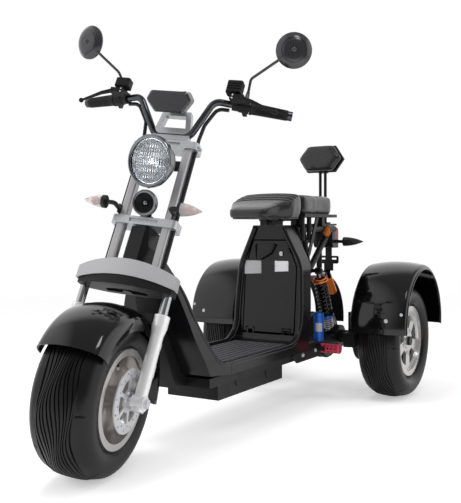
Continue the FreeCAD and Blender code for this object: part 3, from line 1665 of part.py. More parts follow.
def shield_widths(inset):
    top = shield_top_z + cut_overrun
    low = floor_bottom - cut_overrun
    wide = body_half_width - inset
    return [(wide, low), (wide, shield_waist_z), (shield_waist_half_width - inset, shield_knee_z),
            (shield_chest_half_width - inset, shield_chest_z), (shield_top_half_width - inset, top)]


def both_sides(points_xz):
    return points_xz + [(-x, z) for x, z in reversed(points_xz)]


def edge_bead():
    r = edge_bead_radius
    wide = body_half_width - r
    points = [
        V(shield_top_half_width - r, shield_top_y - r, shield_top_z - r),
        V(shield_chest_half_width - r, line_y(shield_chest_z) - r, shield_chest_z),
        V(shield_waist_half_width - r, shield_knee_y - r, shield_knee_z),
        V(wide, floor_front_y - r, floor_top - r),
        V(wide, tower_foot_y + r, floor_top - r),
        V(wide, tower_line_y(tower_waist_z) + r, tower_waist_z),
        V(tower_shoulder_half_width - r, tower_shoulder_y + r, tower_shoulder_z),
        V(tower_top_half_width - r, tower_top_y + r, tower_top_z - r),
    ]
    bends = [flank_round, knee_round, foot_round, foot_round, flank_round, shoulder_round]
    return bent_rod(points, r, bends)


def tower_line_y(z):
    share = (z - floor_top) / (tower_shoulder_z - floor_top)
    return tower_foot_y + share * (tower_shoulder_y - tower_foot_y)


def line_y(z):
    share = (z - shield_knee_z) / (shield_top_z - shield_knee_z)
    return shield_knee_y + share * (shield_top_y - shield_knee_y)


def bead_between(y0, y1):
    reach = 2 * body_half_width
    piece = edge_bead().common(block(0, reach, y0, y1, 0, tower_top_z + reach))
    return [piece, mirrored(piece)]


def leg_shield():
    profile = [0, knee_round, foot_round, 0, 0, 0, knee_round, 0]
    skin_profile = [0, knee_round, heel_round, 0, 0, 0, knee_round, 0]
    reach = body_half_width
    solid = side_slab(shield_profile(edge_bead_radius), profile, -reach, reach)
    mask = front_slab(both_sides(shield_widths(band_inset_share * edge_bead_radius)), shield_radii(), 0, wheelbase)
    skin = side_slab(shield_profile(rim_height), skin_profile, -reach, reach)
    inner = front_slab(both_sides(shield_widths(rim_width)), shield_radii(), 0, wheelbase)
    shield = solid.common(mask)
    shield = shield.cut(shield.cut(skin).common(inner))
    return fuse([shield] + bead_between(0, front_seam_y - panel_seam)).cut(spine(seat_gap))


def shield_radii():
    half = [0, knee_round, knee_round, flank_round, 0]
    return half + half[::-1]


def floor_panel():
    half = body_half_width - band_inset_share * edge_bead_radius
    inner = body_half_width - rim_width
    y0 = front_seam_y + panel_seam
    y1 = rear_seam_y - panel_seam
    base = block(-half, half, y0, y1, floor_bottom, floor_top - edge_bead_radius)
    trough = block(-inner, inner, y0 - cut_overrun, y1 + cut_overrun, floor_top - rim_height,
                   floor_top + cut_overrun)
    return fuse([base] + bead_between(y0, y1)).cut(trough)


def floor_mat():
    y0 = floor_front_y + mat_margin
    y1 = tower_foot_y - mat_rear_margin
    low = floor_top - rim_height + seat_gap
    sheet = block(-mat_half_width, mat_half_width, y0, y1, low, low + mat_thickness)
    ribs = []
    pitch = 2 * (mat_half_width - mat_margin) / (mat_rib_count - 1)
    for index in range(mat_rib_count):
        x = -mat_half_width + mat_margin + index * pitch
        ribs.append(block(x - 0.5 * mat_rib_width, x + 0.5 * mat_rib_width, y0 + mat_margin, y1 - mat_margin, low,
                          low + mat_thickness + mat_rib_height))
    return fuse([sheet] + ribs)


def battery_tray():
    top = floor_bottom - seat_gap
    outer = block(-tray_half_width, tray_half_width, tray_front_y, tray_rear_y, tray_bottom, top)
    outer = rounded(outer, tray_wall, X_AXIS)
    return outer


def tower_profile(lift):
    back = tower_depth
    front = rear_seam_y + panel_seam
    return [
        (front, floor_bottom), (front, floor_top - lift), (tower_foot_y + lift, floor_top - lift),
        (tower_shoulder_y + lift, tower_shoulder_z), (tower_top_y + lift, tower_top_z),
        (tower_top_y + back, tower_top_z), (tower_shoulder_y + back, tower_shoulder_z),
        (tower_foot_y + back, floor_top), (tower_foot_y + back - tower_tuck, floor_bottom),
    ]


def tower_radii(foot):
    return [0, 0, foot, shoulder_round, 0, 0, shoulder_round, rear_round, 0]


def tower_front_outline(inset):
    return both_sides([
        (body_half_width - inset, floor_bottom - cut_overrun), (body_half_width - inset, tower_waist_z),
        (tower_shoulder_half_width - inset, tower_shoulder_z),
        (tower_top_half_width - tower_top_inset_share * inset, tower_top_z + cut_overrun),
    ])


def tower_mask(inset):
    half = [0, flank_round, shoulder_round, 0]
    return front_slab(tower_front_outline(inset), half + half[::-1], floor_front_y, 2 * wheelbase)


def door_outline(grow, sill):
    low = door_bottom_z - sill
    wide = door_half_width + grow
    top = door_top_half_width + grow
    right = [(wide, low), (wide, door_shoulder_z), (top, door_top_z + grow)]
    radii = [door_corner, door_shoulder_round, door_corner]
    return both_sides(right), radii + radii[::-1]


def door_slab(grow, sill, lift_front, lift_back):
    band = side_prism([
        (tower_foot_y + lift_front, floor_top), (tower_shoulder_y + lift_front, tower_shoulder_z),
        (tower_top_y + lift_front, tower_top_z), (tower_top_y + lift_back, tower_top_z),
        (tower_shoulder_y + lift_back, tower_shoulder_z), (tower_foot_y + lift_back, floor_top),
    ], -body_half_width, body_half_width)
    outline, radii = door_outline(grow, sill)
    return band.common(front_slab(outline, radii, floor_front_y, 2 * wheelbase))


def seat_tower():
    reach = body_half_width
    solid = side_slab(tower_profile(edge_bead_radius), tower_radii(foot_round), -reach, reach)
    tower = solid.common(tower_mask(band_inset_share * edge_bead_radius))
    skin = side_slab(tower_profile(rim_height), tower_radii(heel_round), -reach, reach)
    tower = tower.cut(tower.cut(skin).common(tower_mask(rim_width)))
    opening = door_slab(door_gap, door_sill_gap, 0, tower_depth - tower_wall)
    lugs = []
    for side in (-1, 1):
        for start in (door_hinge_x - door_lug_width - seat_gap, door_hinge_x + door_hinge_length + seat_gap):
            lug = block(start, start + door_lug_width, door_hinge_y - door_hinge_radius,
                        door_hinge_y + door_hinge_radius, floor_top, door_hinge_z)
            eye = rod(V(start, door_hinge_y, door_hinge_z), V(start + door_lug_width, door_hinge_y, door_hinge_z),
                      door_hinge_radius)
            lugs.extend([lug, eye] if side > 0 else [mirrored(lug), mirrored(eye)])
        pin = rod(V(door_hinge_x - door_lug_width, door_hinge_y, door_hinge_z),
                  V(door_hinge_x + door_hinge_length + door_lug_width, door_hinge_y, door_hinge_z), door_pin_radius)
        lugs.append(pin if side > 0 else mirrored(pin))
    return fuse([tower.cut(opening)] + lugs + bead_between(rear_seam_y + panel_seam, 2 * wheelbase))


def door_handle(face_y):
    sink = 2 * handle_bar_radius
    low = door_top_z - handle_top_drop - handle_recess_height
    points = [
        V(handle_centre_x + handle_top_x, face_y + sink, low + handle_recess_height),
        V(handle_centre_x + handle_top_x, face_y - handle_bar_radius, low + handle_recess_height),
        V(handle_centre_x + handle_knee_x, face_y - handle_bar_radius, low + handle_knee_share * handle_recess_height),
        V(handle_centre_x - handle_top_x, face_y - handle_bar_radius, low),
        V(handle_centre_x - handle_top_x, face_y + sink, low),
    ]
    return bent_rod(points, handle_bar_radius, [sink, 2 * sink, sink])


def battery_door():
    door = door_slab(0, 0, rim_height, rim_height + door_thickness)
    low = door_top_z - handle_top_drop - handle_recess_height
    face_y = tower_shoulder_y + rim_height - handle_face_rise
    x0 = handle_centre_x - handle_recess_half_width
    x1 = handle_centre_x + handle_recess_half_width
    recess = block(x0, x1, floor_front_y, face_y + handle_recess_depth, low, low + handle_recess_height)
    recess = rounded(recess, door_corner, Y_AXIS)
    lock = rod(V(lock_x, face_y - lock_length, lock_z), V(lock_x, face_y + lock_length, lock_z), lock_radius)
    notches = []
    knuckles = []
    bores = []
    reach = door_hinge_radius + door_hinge_clear
    for side in (-1, 1):
        x0 = door_hinge_x - door_lug_width - door_hinge_clear
        x1 = door_hinge_x + door_hinge_length + door_lug_width + door_hinge_clear
        notch = block(x0, x1, tower_foot_y, tower_foot_y + tower_depth, door_bottom_z - cut_overrun,
                      door_hinge_z + reach)
        knuckle = rod(V(door_hinge_x, door_hinge_y, door_hinge_z),
                      V(door_hinge_x + door_hinge_length, door_hinge_y, door_hinge_z), door_hinge_radius)
        strap = block(door_hinge_x, door_hinge_x + door_hinge_length, door_hinge_y - door_strap_half,
                      door_hinge_y + door_strap_half, door_hinge_z, door_hinge_z + reach + door_hinge_clear)
        bore = rod(V(x0, door_hinge_y, door_hinge_z), V(x1, door_hinge_y, door_hinge_z),
                   door_pin_radius + running_gap)
        notches.append(notch if side > 0 else mirrored(notch))
        knuckles.extend([knuckle, strap] if side > 0 else [mirrored(knuckle), mirrored(strap)])
        bores.append(bore if side > 0 else mirrored(bore))
    pieces = [door.cut([recess] + notches), door_handle(face_y), lock] + knuckles
    return fuse(pieces).cut(bores)


# Seats

def saddle_block(inset, low, high_front, high_rear):
    nose = saddle_nose_half_width - inset
    wide = saddle_half_width - inset
    y0 = saddle_front_y + inset
    y1 = saddle_rear_y - inset
    mid = y0 + 0.55 * (y1 - y0)
    plan = [(nose, y0), (wide, mid), (0.94 * wide, y1), (-0.94 * wide, y1), (-wide, mid), (-nose, y0)]
    body = plan_prism(plan, low, high_rear)
    slope = side_prism([(y0 - cut_overrun, low), (y1 + cut_overrun, low), (y1 + cut_overrun, high_rear),
                        (mid, high_rear), (y0 - cut_overrun, high_front)], -wide - inset, wide + inset)
    return body.common(slope)


def rider_saddle():
    body = saddle_block(0, saddle_bottom, saddle_front_top, saddle_rear_top)
    uprights = [e for e in body.Edges if e.BoundBox.ZLength > 0.8 * (saddle_front_top - saddle_bottom)
                and e.BoundBox.YLength < saddle_round]
    return body.makeFillet(saddle_round, uprights)


def passenger_pad():
    plan = [(pad_half_width, pad_front_y), (pad_rear_half_width, pad_rear_y), (-pad_rear_half_width, pad_rear_y),
            (-pad_half_width, pad_front_y)]
    body = plan_prism(plan, pad_bottom, pad_top)
    return rounded(body, pad_round, Z_AXIS)


def seat_base():
    plate_top = saddle_bottom - soft_gap
    front = saddle_block(seat_plate_inset, plate_top - seat_plate_thickness, plate_top, plate_top)
    pad_plate_top = pad_bottom - soft_gap
    rear = block(-pad_half_width - 0, pad_half_width, pad_front_y, pad_rear_y + pad_plate_overhang,
                 pad_plate_top - seat_plate_thickness, pad_plate_top)
    bridge = block(-rack_half_width, rack_half_width, saddle_rear_y - 2 * seat_plate_inset, pad_front_y + rack_half_width,
                   plate_top - 1.6 * seat_plate_thickness, plate_top - 0.2 * seat_plate_thickness)
    rail_top = seat_rail_z + rail_tube_radius
    half = 0.5 * seat_post_size
    posts = []
    for y in (seat_rail_front_y + 3 * half, pad_rear_y - 3 * half):
        post = block(seat_rail_half_spacing - half, seat_rail_half_spacing + half, y, y + 2 * half,
                     rail_top - 0.35 * rail_tube_radius, pad_plate_top - 0.5 * seat_plate_thickness)
        posts.extend([post, mirrored(post)])
    rack = block(-rack_half_width, rack_half_width, pad_rear_y - rack_half_width, rack_rear_y,
                 rail_top + seat_gap, rail_top + seat_gap + rack_thickness)
    neck_post = block(neck_post_inner_x, neck_post_outer_x, tower_top_y + rim_height, tower_top_y + neck_post_depth,
                      tower_top_z + seat_gap, plate_top - seat_plate_thickness * half_share)
    neck_pin = rod(V(-neck_post_outer_x, tower_top_y + neck_post_depth, seat_rail_z + neck_pin_lift),
                   V(neck_post_outer_x, tower_top_y + neck_post_depth, seat_rail_z + neck_pin_lift), neck_pin_radius)
    damper = rod(V(damper_x, damper_front_y, damper_bottom_z), V(damper_x, damper_front_y, pad_plate_top - seat_gap),
                 damper_radius)
    damper_set = [damper, damper.translated(V(0, damper_pitch, 0))]
    stay = side_slab([
        (stay_top_y - stay_reach, pad_plate_top - seat_gap), (stay_foot_y - stay_reach, stay_foot_z),
        (stay_foot_y, stay_foot_z - stay_reach), (stay_foot_y + stay_reach, stay_foot_z),
        (stay_top_y + stay_reach, pad_plate_top - seat_gap)], [0, 0, 0, 0, 0], stay_x, stay_x + stay_thickness)
    hung = damper_set + [stay, neck_post]
    rail_space = rod(V(seat_rail_half_spacing, seat_rail_front_y, seat_rail_z),
                     V(seat_rail_half_spacing, seat_rail_rear_y, seat_rail_z), rail_tube_radius + seat_gap)
    whole = fuse([front, rear, bridge, rack, neck_pin] + posts + hung + [mirrored(piece) for piece in hung])
    return whole.cut([rail_space, mirrored(rail_space)])


def backrest_outline():
    return [(-back_bottom_half_width, back_bottom_z), (back_bottom_half_width, back_bottom_z),
            (back_half_width, back_wide_z), (back_top_half_width, back_top_z),
            (-back_top_half_width, back_top_z), (-back_half_width, back_wide_z)]


def leaned(shape):
    tipped = shape.copy()
    tipped.rotate(V(0, back_post_y, back_bottom_z), X_AXIS, -back_lean_deg)
    return tipped


def backrest_pad():
    front = back_post_y - back_post_radius - back_shell_thickness - soft_gap
    pad = front_prism(backrest_outline(), front - back_pad_thickness, front)
    pad = pad.makeFillet(back_round, [e for e in pad.Edges if e.BoundBox.YMax < front - 0.5 * back_pad_thickness])
    return leaned(pad)


def backrest_shell():
    rear = back_post_y - back_post_radius - seat_gap
    shell = front_prism(backrest_outline(), rear - back_shell_thickness + seat_gap, rear)
    sockets = []
    for side in (-1, 1):
        x = side * back_post_half_spacing
        sockets.append(block(x - 1.5 * back_post_radius, x + 1.5 * back_post_radius, rear - 0.2 * back_shell_thickness,
                             rear + 3 * back_post_radius, back_bottom_z, back_wide_z))
    holes = []
    for side in (-1, 1):
        x = side * back_post_half_spacing
        holes.append(rod(V(x, back_post_y, back_bottom_z - back_round), V(x, back_post_y, back_wide_z + back_round),
                         back_post_radius + seat_gap))
    return leaned(fuse([shell] + sockets).cut(holes))


def backrest_posts():
    rail_top = seat_rail_z + rail_tube_radius
    foot_z = rail_top + rack_thickness + 2 * seat_gap
    posts = []
    for side in (-1, 1):
        x = side * back_post_half_spacing
        low = V(x, back_post_y, foot_z)
        bend = V(x, back_post_y, back_bottom_z)
        lean = math.radians(back_lean_deg)
        reach = back_post_top - back_bottom_z
        high = V(x, back_post_y + reach * math.sin(lean), back_bottom_z + reach * math.cos(lean))
        posts.append(bent_rod([low, bend, high], back_post_radius, 6 * back_post_radius))
    foot = block(-2.6 * back_post_half_spacing, 2.6 * back_post_half_spacing, back_post_y - 2 * back_post_radius,
                 back_post_y + 2 * back_post_radius, foot_z, foot_z + back_post_radius)
    tie_z = foot_z + 0.4 * (back_bottom_z - foot_z)
    return fuse(posts + [foot])


# Rear end

def tail_lamp():
    z0 = tail_lamp_z
    half = tail_lamp_half_width
    middle = V(0, tail_lamp_front_y + tail_housing_radius, z0 + tail_housing_radius)
    body = block(-half, half, tail_lamp_front_y, tail_lamp_rear_y, z0 + tail_housing_radius, z0 + tail_lamp_height)
    body = rounded(body, tail_lamp_round, Y_AXIS)
    housing = rod(middle - V(half, 0, 0), middle + V(half, 0, 0), tail_housing_radius)
    rear = block(-half, half, middle.y, tail_lamp_rear_y, z0, z0 + tail_housing_radius)
    hanger = block(-tail_hanger_half_width, tail_hanger_half_width, tail_lamp_front_y + rack_thickness,
                   rack_rear_y - rack_thickness, z0 + tail_housing_radius, seat_rail_z + rail_tube_radius)
    return fuse([body, housing, rear, hanger])


def rear_indicators():
    y = rear_indicator_y
    z = rear_indicator_z
    lamp = indicator(rear_indicator_x, rear_indicator_tip_x, y, z)
    stem = rod(V(tail_lamp_half_width + seat_gap, y, z), V(rear_indicator_x + 0.3 * indicator_collar, y, z),
               indicator_stem_radius)
    return pair(fuse([lamp, stem]))


def plate_bracket():
    y1 = tail_lamp_rear_y
    y0 = y1 - plate_bracket_thickness
    top = tail_lamp_z - seat_gap
    wide_top = plate_bracket_top_z
    wide_low = wide_top - plate_bracket_height
    half = plate_bracket_half_width
    arm = block(-plate_arm_half_width, plate_arm_half_width, y0, y1, wide_low, top)
    bar = rounded(block(-half, half, y0, y1, wide_low, wide_top), plate_corner, Y_AXIS)
    tongue = block(-plate_tongue_half_width, plate_tongue_half_width, y0, y1, wide_low - plate_tongue_drop, wide_low)
    slot = block(plate_slot_inner_x, plate_slot_outer_x, y0 - cut_overrun, y1 + cut_overrun,
                 wide_top - plate_slot_drop - plate_slot_height, wide_top - plate_slot_drop)
    return fuse([arm, bar, tongue]).cut([slot, mirrored(slot)])


def side_reflectors():
    x0 = seat_rail_half_spacing + rail_tube_radius + seat_gap
    half = reflector_length * reflector_half_share
    body = block(x0, x0 + reflector_width, reflector_y - half, reflector_y + half,
                 reflector_z - reflector_height * reflector_half_share,
                 reflector_z + reflector_height * reflector_half_share)
    return pair(rounded(body, half - seat_gap, X_AXIS))


def rear_axle():
    y = wheelbase
    z = tyre_radius
    tube = rod(V(-axle_tube_end, y, z), V(axle_tube_end, y, z), axle_tube_radius)
    case = rod(V(-motor_half_length, y, z), V(motor_half_length, y, z), motor_radius)
    ends = cone_between(V(motor_half_length, y, z), V(1.28 * motor_half_length, y, z), motor_end_radius,
                        axle_flange_radius)
    ribs = []
    pitch = 2 * motor_half_length / motor_rib_count
    for index in range(motor_rib_count):
        x = -motor_half_length + (index + 0.5) * pitch
        ribs.append(rod(V(x - 0.5 * motor_rib_width, y, z), V(x + 0.5 * motor_rib_width, y, z), motor_rib_radius))
    flange = rod(V(axle_tube_end - axle_flange_thickness, y, z), V(axle_tube_end, y, z), axle_flange_radius)
    spindle_end = rear_half_track + 0.5 * rear_rim_width - hub_end_inset + hub_nose + body_gap
    spindle = rod(V(0, y, z), V(spindle_end + axle_nut_length, y, z), rear_axle_radius)
    nut = rod(V(spindle_end, y, z), V(spindle_end + axle_nut_length, y, z), 1.4 * axle_nut_radius)
    halves = [ends, flange, spindle, nut]
    return fuse([tube, case] + ribs + halves + [mirrored(h) for h in halves])


def swing_arms():
    y = wheelbase
    z = tyre_radius
    half_w = 0.5 * swing_arm_width
    half_h = 0.5 * swing_arm_height
    x = swing_arm_half_spacing
    end_y = y + axle_tube_radius + half_h
    arm = side_prism([(pivot_y, pivot_z + half_h), (shock_foot_y - 2 * half_h, pivot_z + half_h),
                      (end_y, z + half_h), (end_y, z - half_h), (pivot_y, pivot_z - half_h)], x - half_w, x + half_w)
    eye = rod(V(x - half_w, pivot_y, pivot_z), V(x + half_w, pivot_y, pivot_z), half_h)
    housing = rod(V(x - half_w, y, z), V(x + half_w, y, z), axle_tube_radius + half_h)
    ear_outer = shock_foot_x - 0.5 * shock_eye_width - seat_gap
    ear_inner = ear_outer - shock_ear_thickness
    ear = block(ear_inner, ear_outer, shock_foot_y - shock_eye_radius, shock_foot_y + shock_eye_radius,
                pivot_z, shock_foot_z)
    ear_top = rod(V(ear_inner, shock_foot_y, shock_foot_z), V(ear_outer, shock_foot_y, shock_foot_z),
                  shock_eye_radius)
    pin_end = shock_foot_x + 0.5 * shock_eye_width + shock_nut_length
    pin = rod(V(ear_inner, shock_foot_y, shock_foot_z), V(pin_end, shock_foot_y, shock_foot_z), shock_pin_radius)
    arm = fuse([arm, eye, housing, ear, ear_top, pin])
    axle_hole = rod(V(0, y, z), V(axle_tube_end, y, z), axle_tube_radius + seat_gap)
    pivot_hole = rod(V(0, pivot_y, pivot_z), V(2 * x, pivot_y, pivot_z), 0.5 * pivot_radius + seat_gap)
    return pair(arm.cut([axle_hole, pivot_hole]))


def peg_eye_x():
    return peg_inner_x + peg_knuckle_radius


def gussets():
    x0 = rail_half_spacing + rail_width + seat_gap
    x1 = x0 + gusset_thickness
    middle = 0.5 * (gusset_top + gusset_bottom)
    plate = side_prism([
        (gusset_front_y, middle), (gusset_front_y + gusset_slope, gusset_bottom),
        (gusset_rear_y - gusset_slope, gusset_bottom), (gusset_rear_y, peg_z - 0.5 * gusset_tip),
        (gusset_rear_y, peg_z + 0.5 * gusset_tip), (gusset_rear_y - gusset_slope, gusset_top),
        (tower_foot_y + tower_depth + 2 * door_gap, gusset_top),
        (tower_foot_y + tower_depth + 2 * door_gap, floor_bottom - seat_gap),
        (gusset_front_y + gusset_slope, floor_bottom - seat_gap),
    ], x0, x1)
    pieces = [plate]
    knuckle_half = 0.5 * peg_width - 2 * peg_fork_thickness
    for y in (peg_y - knuckle_half - body_gap - peg_fork_thickness, peg_y + knuckle_half + body_gap):
        pieces.append(block(x0, peg_eye_x(), y, y + peg_fork_thickness, peg_z - peg_knuckle_radius,
                            peg_z + peg_knuckle_radius))
        pieces.append(rod(V(peg_eye_x(), y, peg_z), V(peg_eye_x(), y + peg_fork_thickness, peg_z),
                          peg_knuckle_radius))
    reach = knuckle_half + body_gap + peg_fork_thickness
    pieces.append(rod(V(peg_eye_x(), peg_y - reach, peg_z), V(peg_eye_x(), peg_y + reach, peg_z), peg_pin_radius))
    return pair(fuse(pieces))


def shock_axis_point(share, offset_y=0.0, offset_x=0.0):
    head = V(shock_head_x, shock_mount_y, shock_mount_z)
    foot = V(shock_foot_x, shock_foot_y, shock_foot_z)
    return head + (foot - head) * share + V(offset_x, offset_y, 0)


def shock_bodies():
    head = shock_axis_point(0)
    foot = shock_axis_point(1)
    half = 0.5 * shock_eye_width
    eye_top = rod(head - V(half, 0, 0), head + V(half, 0, 0), shock_eye_radius)
    eye_low = rod(foot - V(half, 0, 0), foot + V(half, 0, 0), shock_eye_radius)
    core = rod(head, shock_axis_point(spring_end_share), shock_body_radius * 0.6)
    direction = (foot - head).normalize()
    lower = rod(shock_axis_point(spring_end_share), foot - direction * shock_eye_radius * 0.5, shock_body_radius * 0.8)
    plate = spring_plate_thickness
    top_plate = rod(shock_axis_point(spring_start_share) - direction * plate, shock_axis_point(spring_start_share),
                    spring_plate_radius)
    low_plate = rod(shock_axis_point(spring_end_share), shock_axis_point(spring_end_share) + direction * plate,
                    spring_plate_radius)
    tank, tank_axis = orange_axis()
    cap = rod(tank - tank_axis * canister_cap_length, tank - tank_axis * seat_gap, canister_radius)
    bridge = rod(shock_axis_point(canister_bridge_share), tank - tank_axis * canister_cap_length * canister_cap_share,
                 canister_bridge_radius)
    whole = fuse([eye_top, eye_low, core, lower, top_plate, low_plate, bridge, cap])
    pins = []
    for spot in (head, foot):
        pins.append(rod(V(0, spot.y, spot.z), V(2 * shock_head_x, spot.y, spot.z), shock_pin_radius + seat_gap))
    ear_face = shock_foot_x - half
    return pair(whole.cut(pins).cut(block(0, ear_face, foot.y - shock_body_radius, foot.y + shock_body_radius,
                                          foot.z - shock_body_radius, foot.z + shock_eye_radius)))


def shock_springs():
    head = shock_axis_point(spring_start_share)
    foot = shock_axis_point(spring_end_share)
    direction = (foot - head).normalize()
    start = head + direction * seat_gap
    length = (foot - head).Length - 2 * seat_gap
    pitch = length / spring_turns
    inner = 0.7 * spring_radius
    points = [(inner, 0.0)]
    for turn in range(spring_turns):
        base = turn * pitch
        points.append((0.86 * spring_radius, base))
        points.append((spring_radius, base + 0.3 * pitch))
        points.append((0.86 * spring_radius, base + 0.6 * pitch))
    points.append((0.86 * spring_radius, length))
    points.append((inner, length))
    face = closed_face([V(r, 0, z) for r, z in points])
    spring = face.revolve(ZERO, Z_AXIS, 360)
    turn = FreeCAD.Rotation(Z_AXIS, direction)
    spring.Placement = FreeCAD.Placement(start, turn)
    return pair(spring)


def orange_axis():
    start = V(shock_head_x, shock_mount_y + orange_set_back, shock_mount_z - orange_drop)
    along = V(0, math.sin(math.radians(orange_lean_deg)), -math.cos(math.radians(orange_lean_deg)))
    return start, along


def orange_canisters():
    start, along = orange_axis()
    return pair(rod(start, start + along * orange_length, canister_radius))


def blue_canisters():
    foot = V(blue_x, blue_y, pivot_z + 0.5 * swing_arm_height + body_gap)
    return pair(rod(foot, foot + V(0, 0, blue_length), blue_radius))


def rear_guard():
    centre_y = wheelbase + rear_guard_back
    centre_z = tyre_radius + rear_guard_lift
    centre = V(0, centre_y, centre_z)
    low = rear_guard_radius - rear_guard_skirt

    def section(side):
        return guard_section(rear_guard_half_width, rear_guard_radius, rear_guard_corner, rear_guard_slope_deg, low,
                             rear_guard_lip, guard_wall,
                             lambda x, radius: V(rear_guard_centre_x + x, centre_y + side * radius, centre_z))

    arch = section(-1).revolve(centre, X_AXIS, -half_turn_deg)
    tails = [section(-1).extrude(V(0, 0, -rear_guard_tail)), section(1).extrude(V(0, 0, -rear_guard_tail))]
    x0 = rear_guard_centre_x - rear_guard_half_width
    cheek = rod(V(x0, centre_y, centre_z), V(x0 + guard_wall, centre_y, centre_z), low + 2 * rear_guard_lip)
    cheek = cheek.cut(block(x0 - cut_overrun, x0 + 2 * guard_wall, centre_y - rear_guard_radius,
                            centre_y + rear_guard_radius, 0, centre_z - rear_guard_tail))
    return fuse([arch] + tails + [cheek])


def centre_guard():
    r = centre_guard_radius
    half = centre_guard_half_width
    sweep = centre_guard_front_deg - centre_guard_rear_deg
    face = closed_face([V(-half, centre_guard_y + r, centre_guard_z), V(half, centre_guard_y + r, centre_guard_z),
                        V(half, centre_guard_y + r - guard_wall, centre_guard_z),
                        V(-half, centre_guard_y + r - guard_wall, centre_guard_z)])
    arch = face.revolve(V(0, centre_guard_y, centre_guard_z), X_AXIS, sweep)
    arch.rotate(V(0, centre_guard_y, centre_guard_z), X_AXIS, centre_guard_rear_deg)
    return arch


def rear_guard_stays():
    y = wheelbase
    z = tyre_radius
    half = 0.5 * rear_stay_width
    wall_x = rear_guard_centre_x - rear_guard_half_width - seat_gap
    t = rear_stay_thickness
    post = block(rear_stay_x - t, rear_stay_x, y - half, y + half, z, rear_stay_shelf_z)
    shelf = block(rear_stay_x - t, wall_x, y - half, y + half, rear_stay_shelf_z - t, rear_stay_shelf_z)
    flange = block(wall_x - t, wall_x, y - half, y + half, rear_stay_shelf_z - t, rear_stay_flange_z)
    bolts = []
    for dy in (-0.6 * half, 0.6 * half):
        spot = V(wall_x - t, y + dy, rear_stay_flange_z - 2 * stay_bolt_radius)
        bolts.append(rod(spot - V(stay_bolt_height, 0, 0), spot, stay_bolt_radius))
    stay = fuse([post, shelf, flange] + bolts)
    return pair(stay.cut(rod(V(0, y, z), V(axle_tube_end, y, z), axle_tube_radius + seat_gap)))


def rear_calipers():
    y1 = wheelbase - rear_disc_radius + 0.5 * rear_caliper_depth
    y0 = y1 - rear_caliper_depth
    z = tyre_radius
    half_w = 0.5 * rear_caliper_width
    half_l = 0.5 * rear_caliper_length
    disc_x = rear_disc_x + 0.5 * rear_disc_thickness
    body = block(disc_x - half_w, disc_x + half_w, y0, y1, z - half_l, z + half_l)
    body = rounded(body, 0.2 * rear_caliper_depth, X_AXIS)
    slot = block(disc_x - 0.5 * caliper_slot, disc_x + 0.5 * caliper_slot, wheelbase - rear_disc_radius - 2 * cut_overrun,
                 wheelbase, z - rear_caliper_length, z + rear_caliper_length)
    flange_x = axle_tube_end - axle_flange_thickness
    plate = block(flange_x - rear_stay_thickness - seat_gap, flange_x - seat_gap, y0, wheelbase,
                  z - half_l, z + half_l)
    link = block(flange_x - rear_stay_thickness - seat_gap, disc_x - 0.5 * caliper_slot, y0,
                 y0 + 0.4 * rear_caliper_depth, z - half_l, z + half_l)
    tube = rod(V(0, wheelbase, z), V(axle_tube_end, wheelbase, z), axle_tube_radius + seat_gap)
    return pair(fuse([body.cut(slot), plate, link]).cut(tube))


def foot_peg():
    y0 = peg_y - 0.5 * peg_width
    x0 = peg_eye_x() + peg_knuckle_radius + peg_ear_reach
    plate = block(x0, peg_inner_x + peg_length, y0, y0 + peg_width, peg_z - 0.5 * peg_thickness,
                  peg_z + 0.5 * peg_thickness)
    plate = rounded(plate, 0.5 * peg_thickness, Z_AXIS)
    holes = []
    for row in range(peg_hole_rows):
        for column in range(peg_hole_columns):
            x = x0 + (column + 0.7) * peg_hole_pitch
            y = peg_y + (row - 0.5 * (peg_hole_rows - 1)) * peg_hole_pitch
            holes.append(rod(V(x, y, peg_z - peg_thickness), V(x, y, peg_z + peg_thickness), peg_hole_radius))
    knuckle_half = 0.5 * peg_width - 2 * peg_fork_thickness
    knuckle = rod(V(peg_eye_x(), peg_y - knuckle_half, peg_z), V(peg_eye_x(), peg_y + knuckle_half, peg_z),
                  peg_knuckle_radius)
    neck = block(peg_eye_x(), x0 + 0.2 * peg_hole_pitch, peg_y - knuckle_half, peg_y + knuckle_half,
                 peg_z - 0.4 * peg_thickness, peg_z + 0.4 * peg_thickness)
    pin_hole = rod(V(peg_eye_x(), y0, peg_z), V(peg_eye_x(), y0 + peg_width, peg_z), peg_pin_radius + running_gap)
    return fuse([plate.cut(holes), knuckle, neck]).cut(pin_hole)


# Every node and its place

root_nodes = {
    "main_frame": main_frame,
    "neck_cover": neck_cover,
    "leg_shield": leg_shield,
    "floor_panel": floor_panel,
    "floor_mat": floor_mat,
    "battery_tray": battery_tray,
    "seat_tower": seat_tower,
    "battery_door": battery_door,
    "rider_saddle": rider_saddle,
    "passenger_pad": passenger_pad,
    "seat_base": seat_base,
    "backrest_pad": backrest_pad,
    "backrest_frame": lambda: group([backrest_shell(), backrest_posts()]),
    "tail_lamp": tail_lamp,
    "rear_indicators": rear_indicators,
    "plate_bracket": plate_bracket,
    "side_reflectors": side_reflectors,
    "rear_axle": rear_axle,
    "swing_arms": swing_arms,
    "frame_brackets": lambda: group([gussets(), rear_guard_stays()]),
    "rear_calipers": rear_calipers,
    "shock_bodies": shock_bodies,
    "shock_springs": shock_springs,
    "orange_canisters": orange_canisters,
    "blue_canisters": blue_canisters,
    "rear_guard_left": rear_guard,
    "rear_guard_right": lambda: mirrored(rear_guard()),
    "centre_guard": centre_guard,
    "foot_peg_left": foot_peg,
    "foot_peg_right": lambda: mirrored(foot_peg()),
}
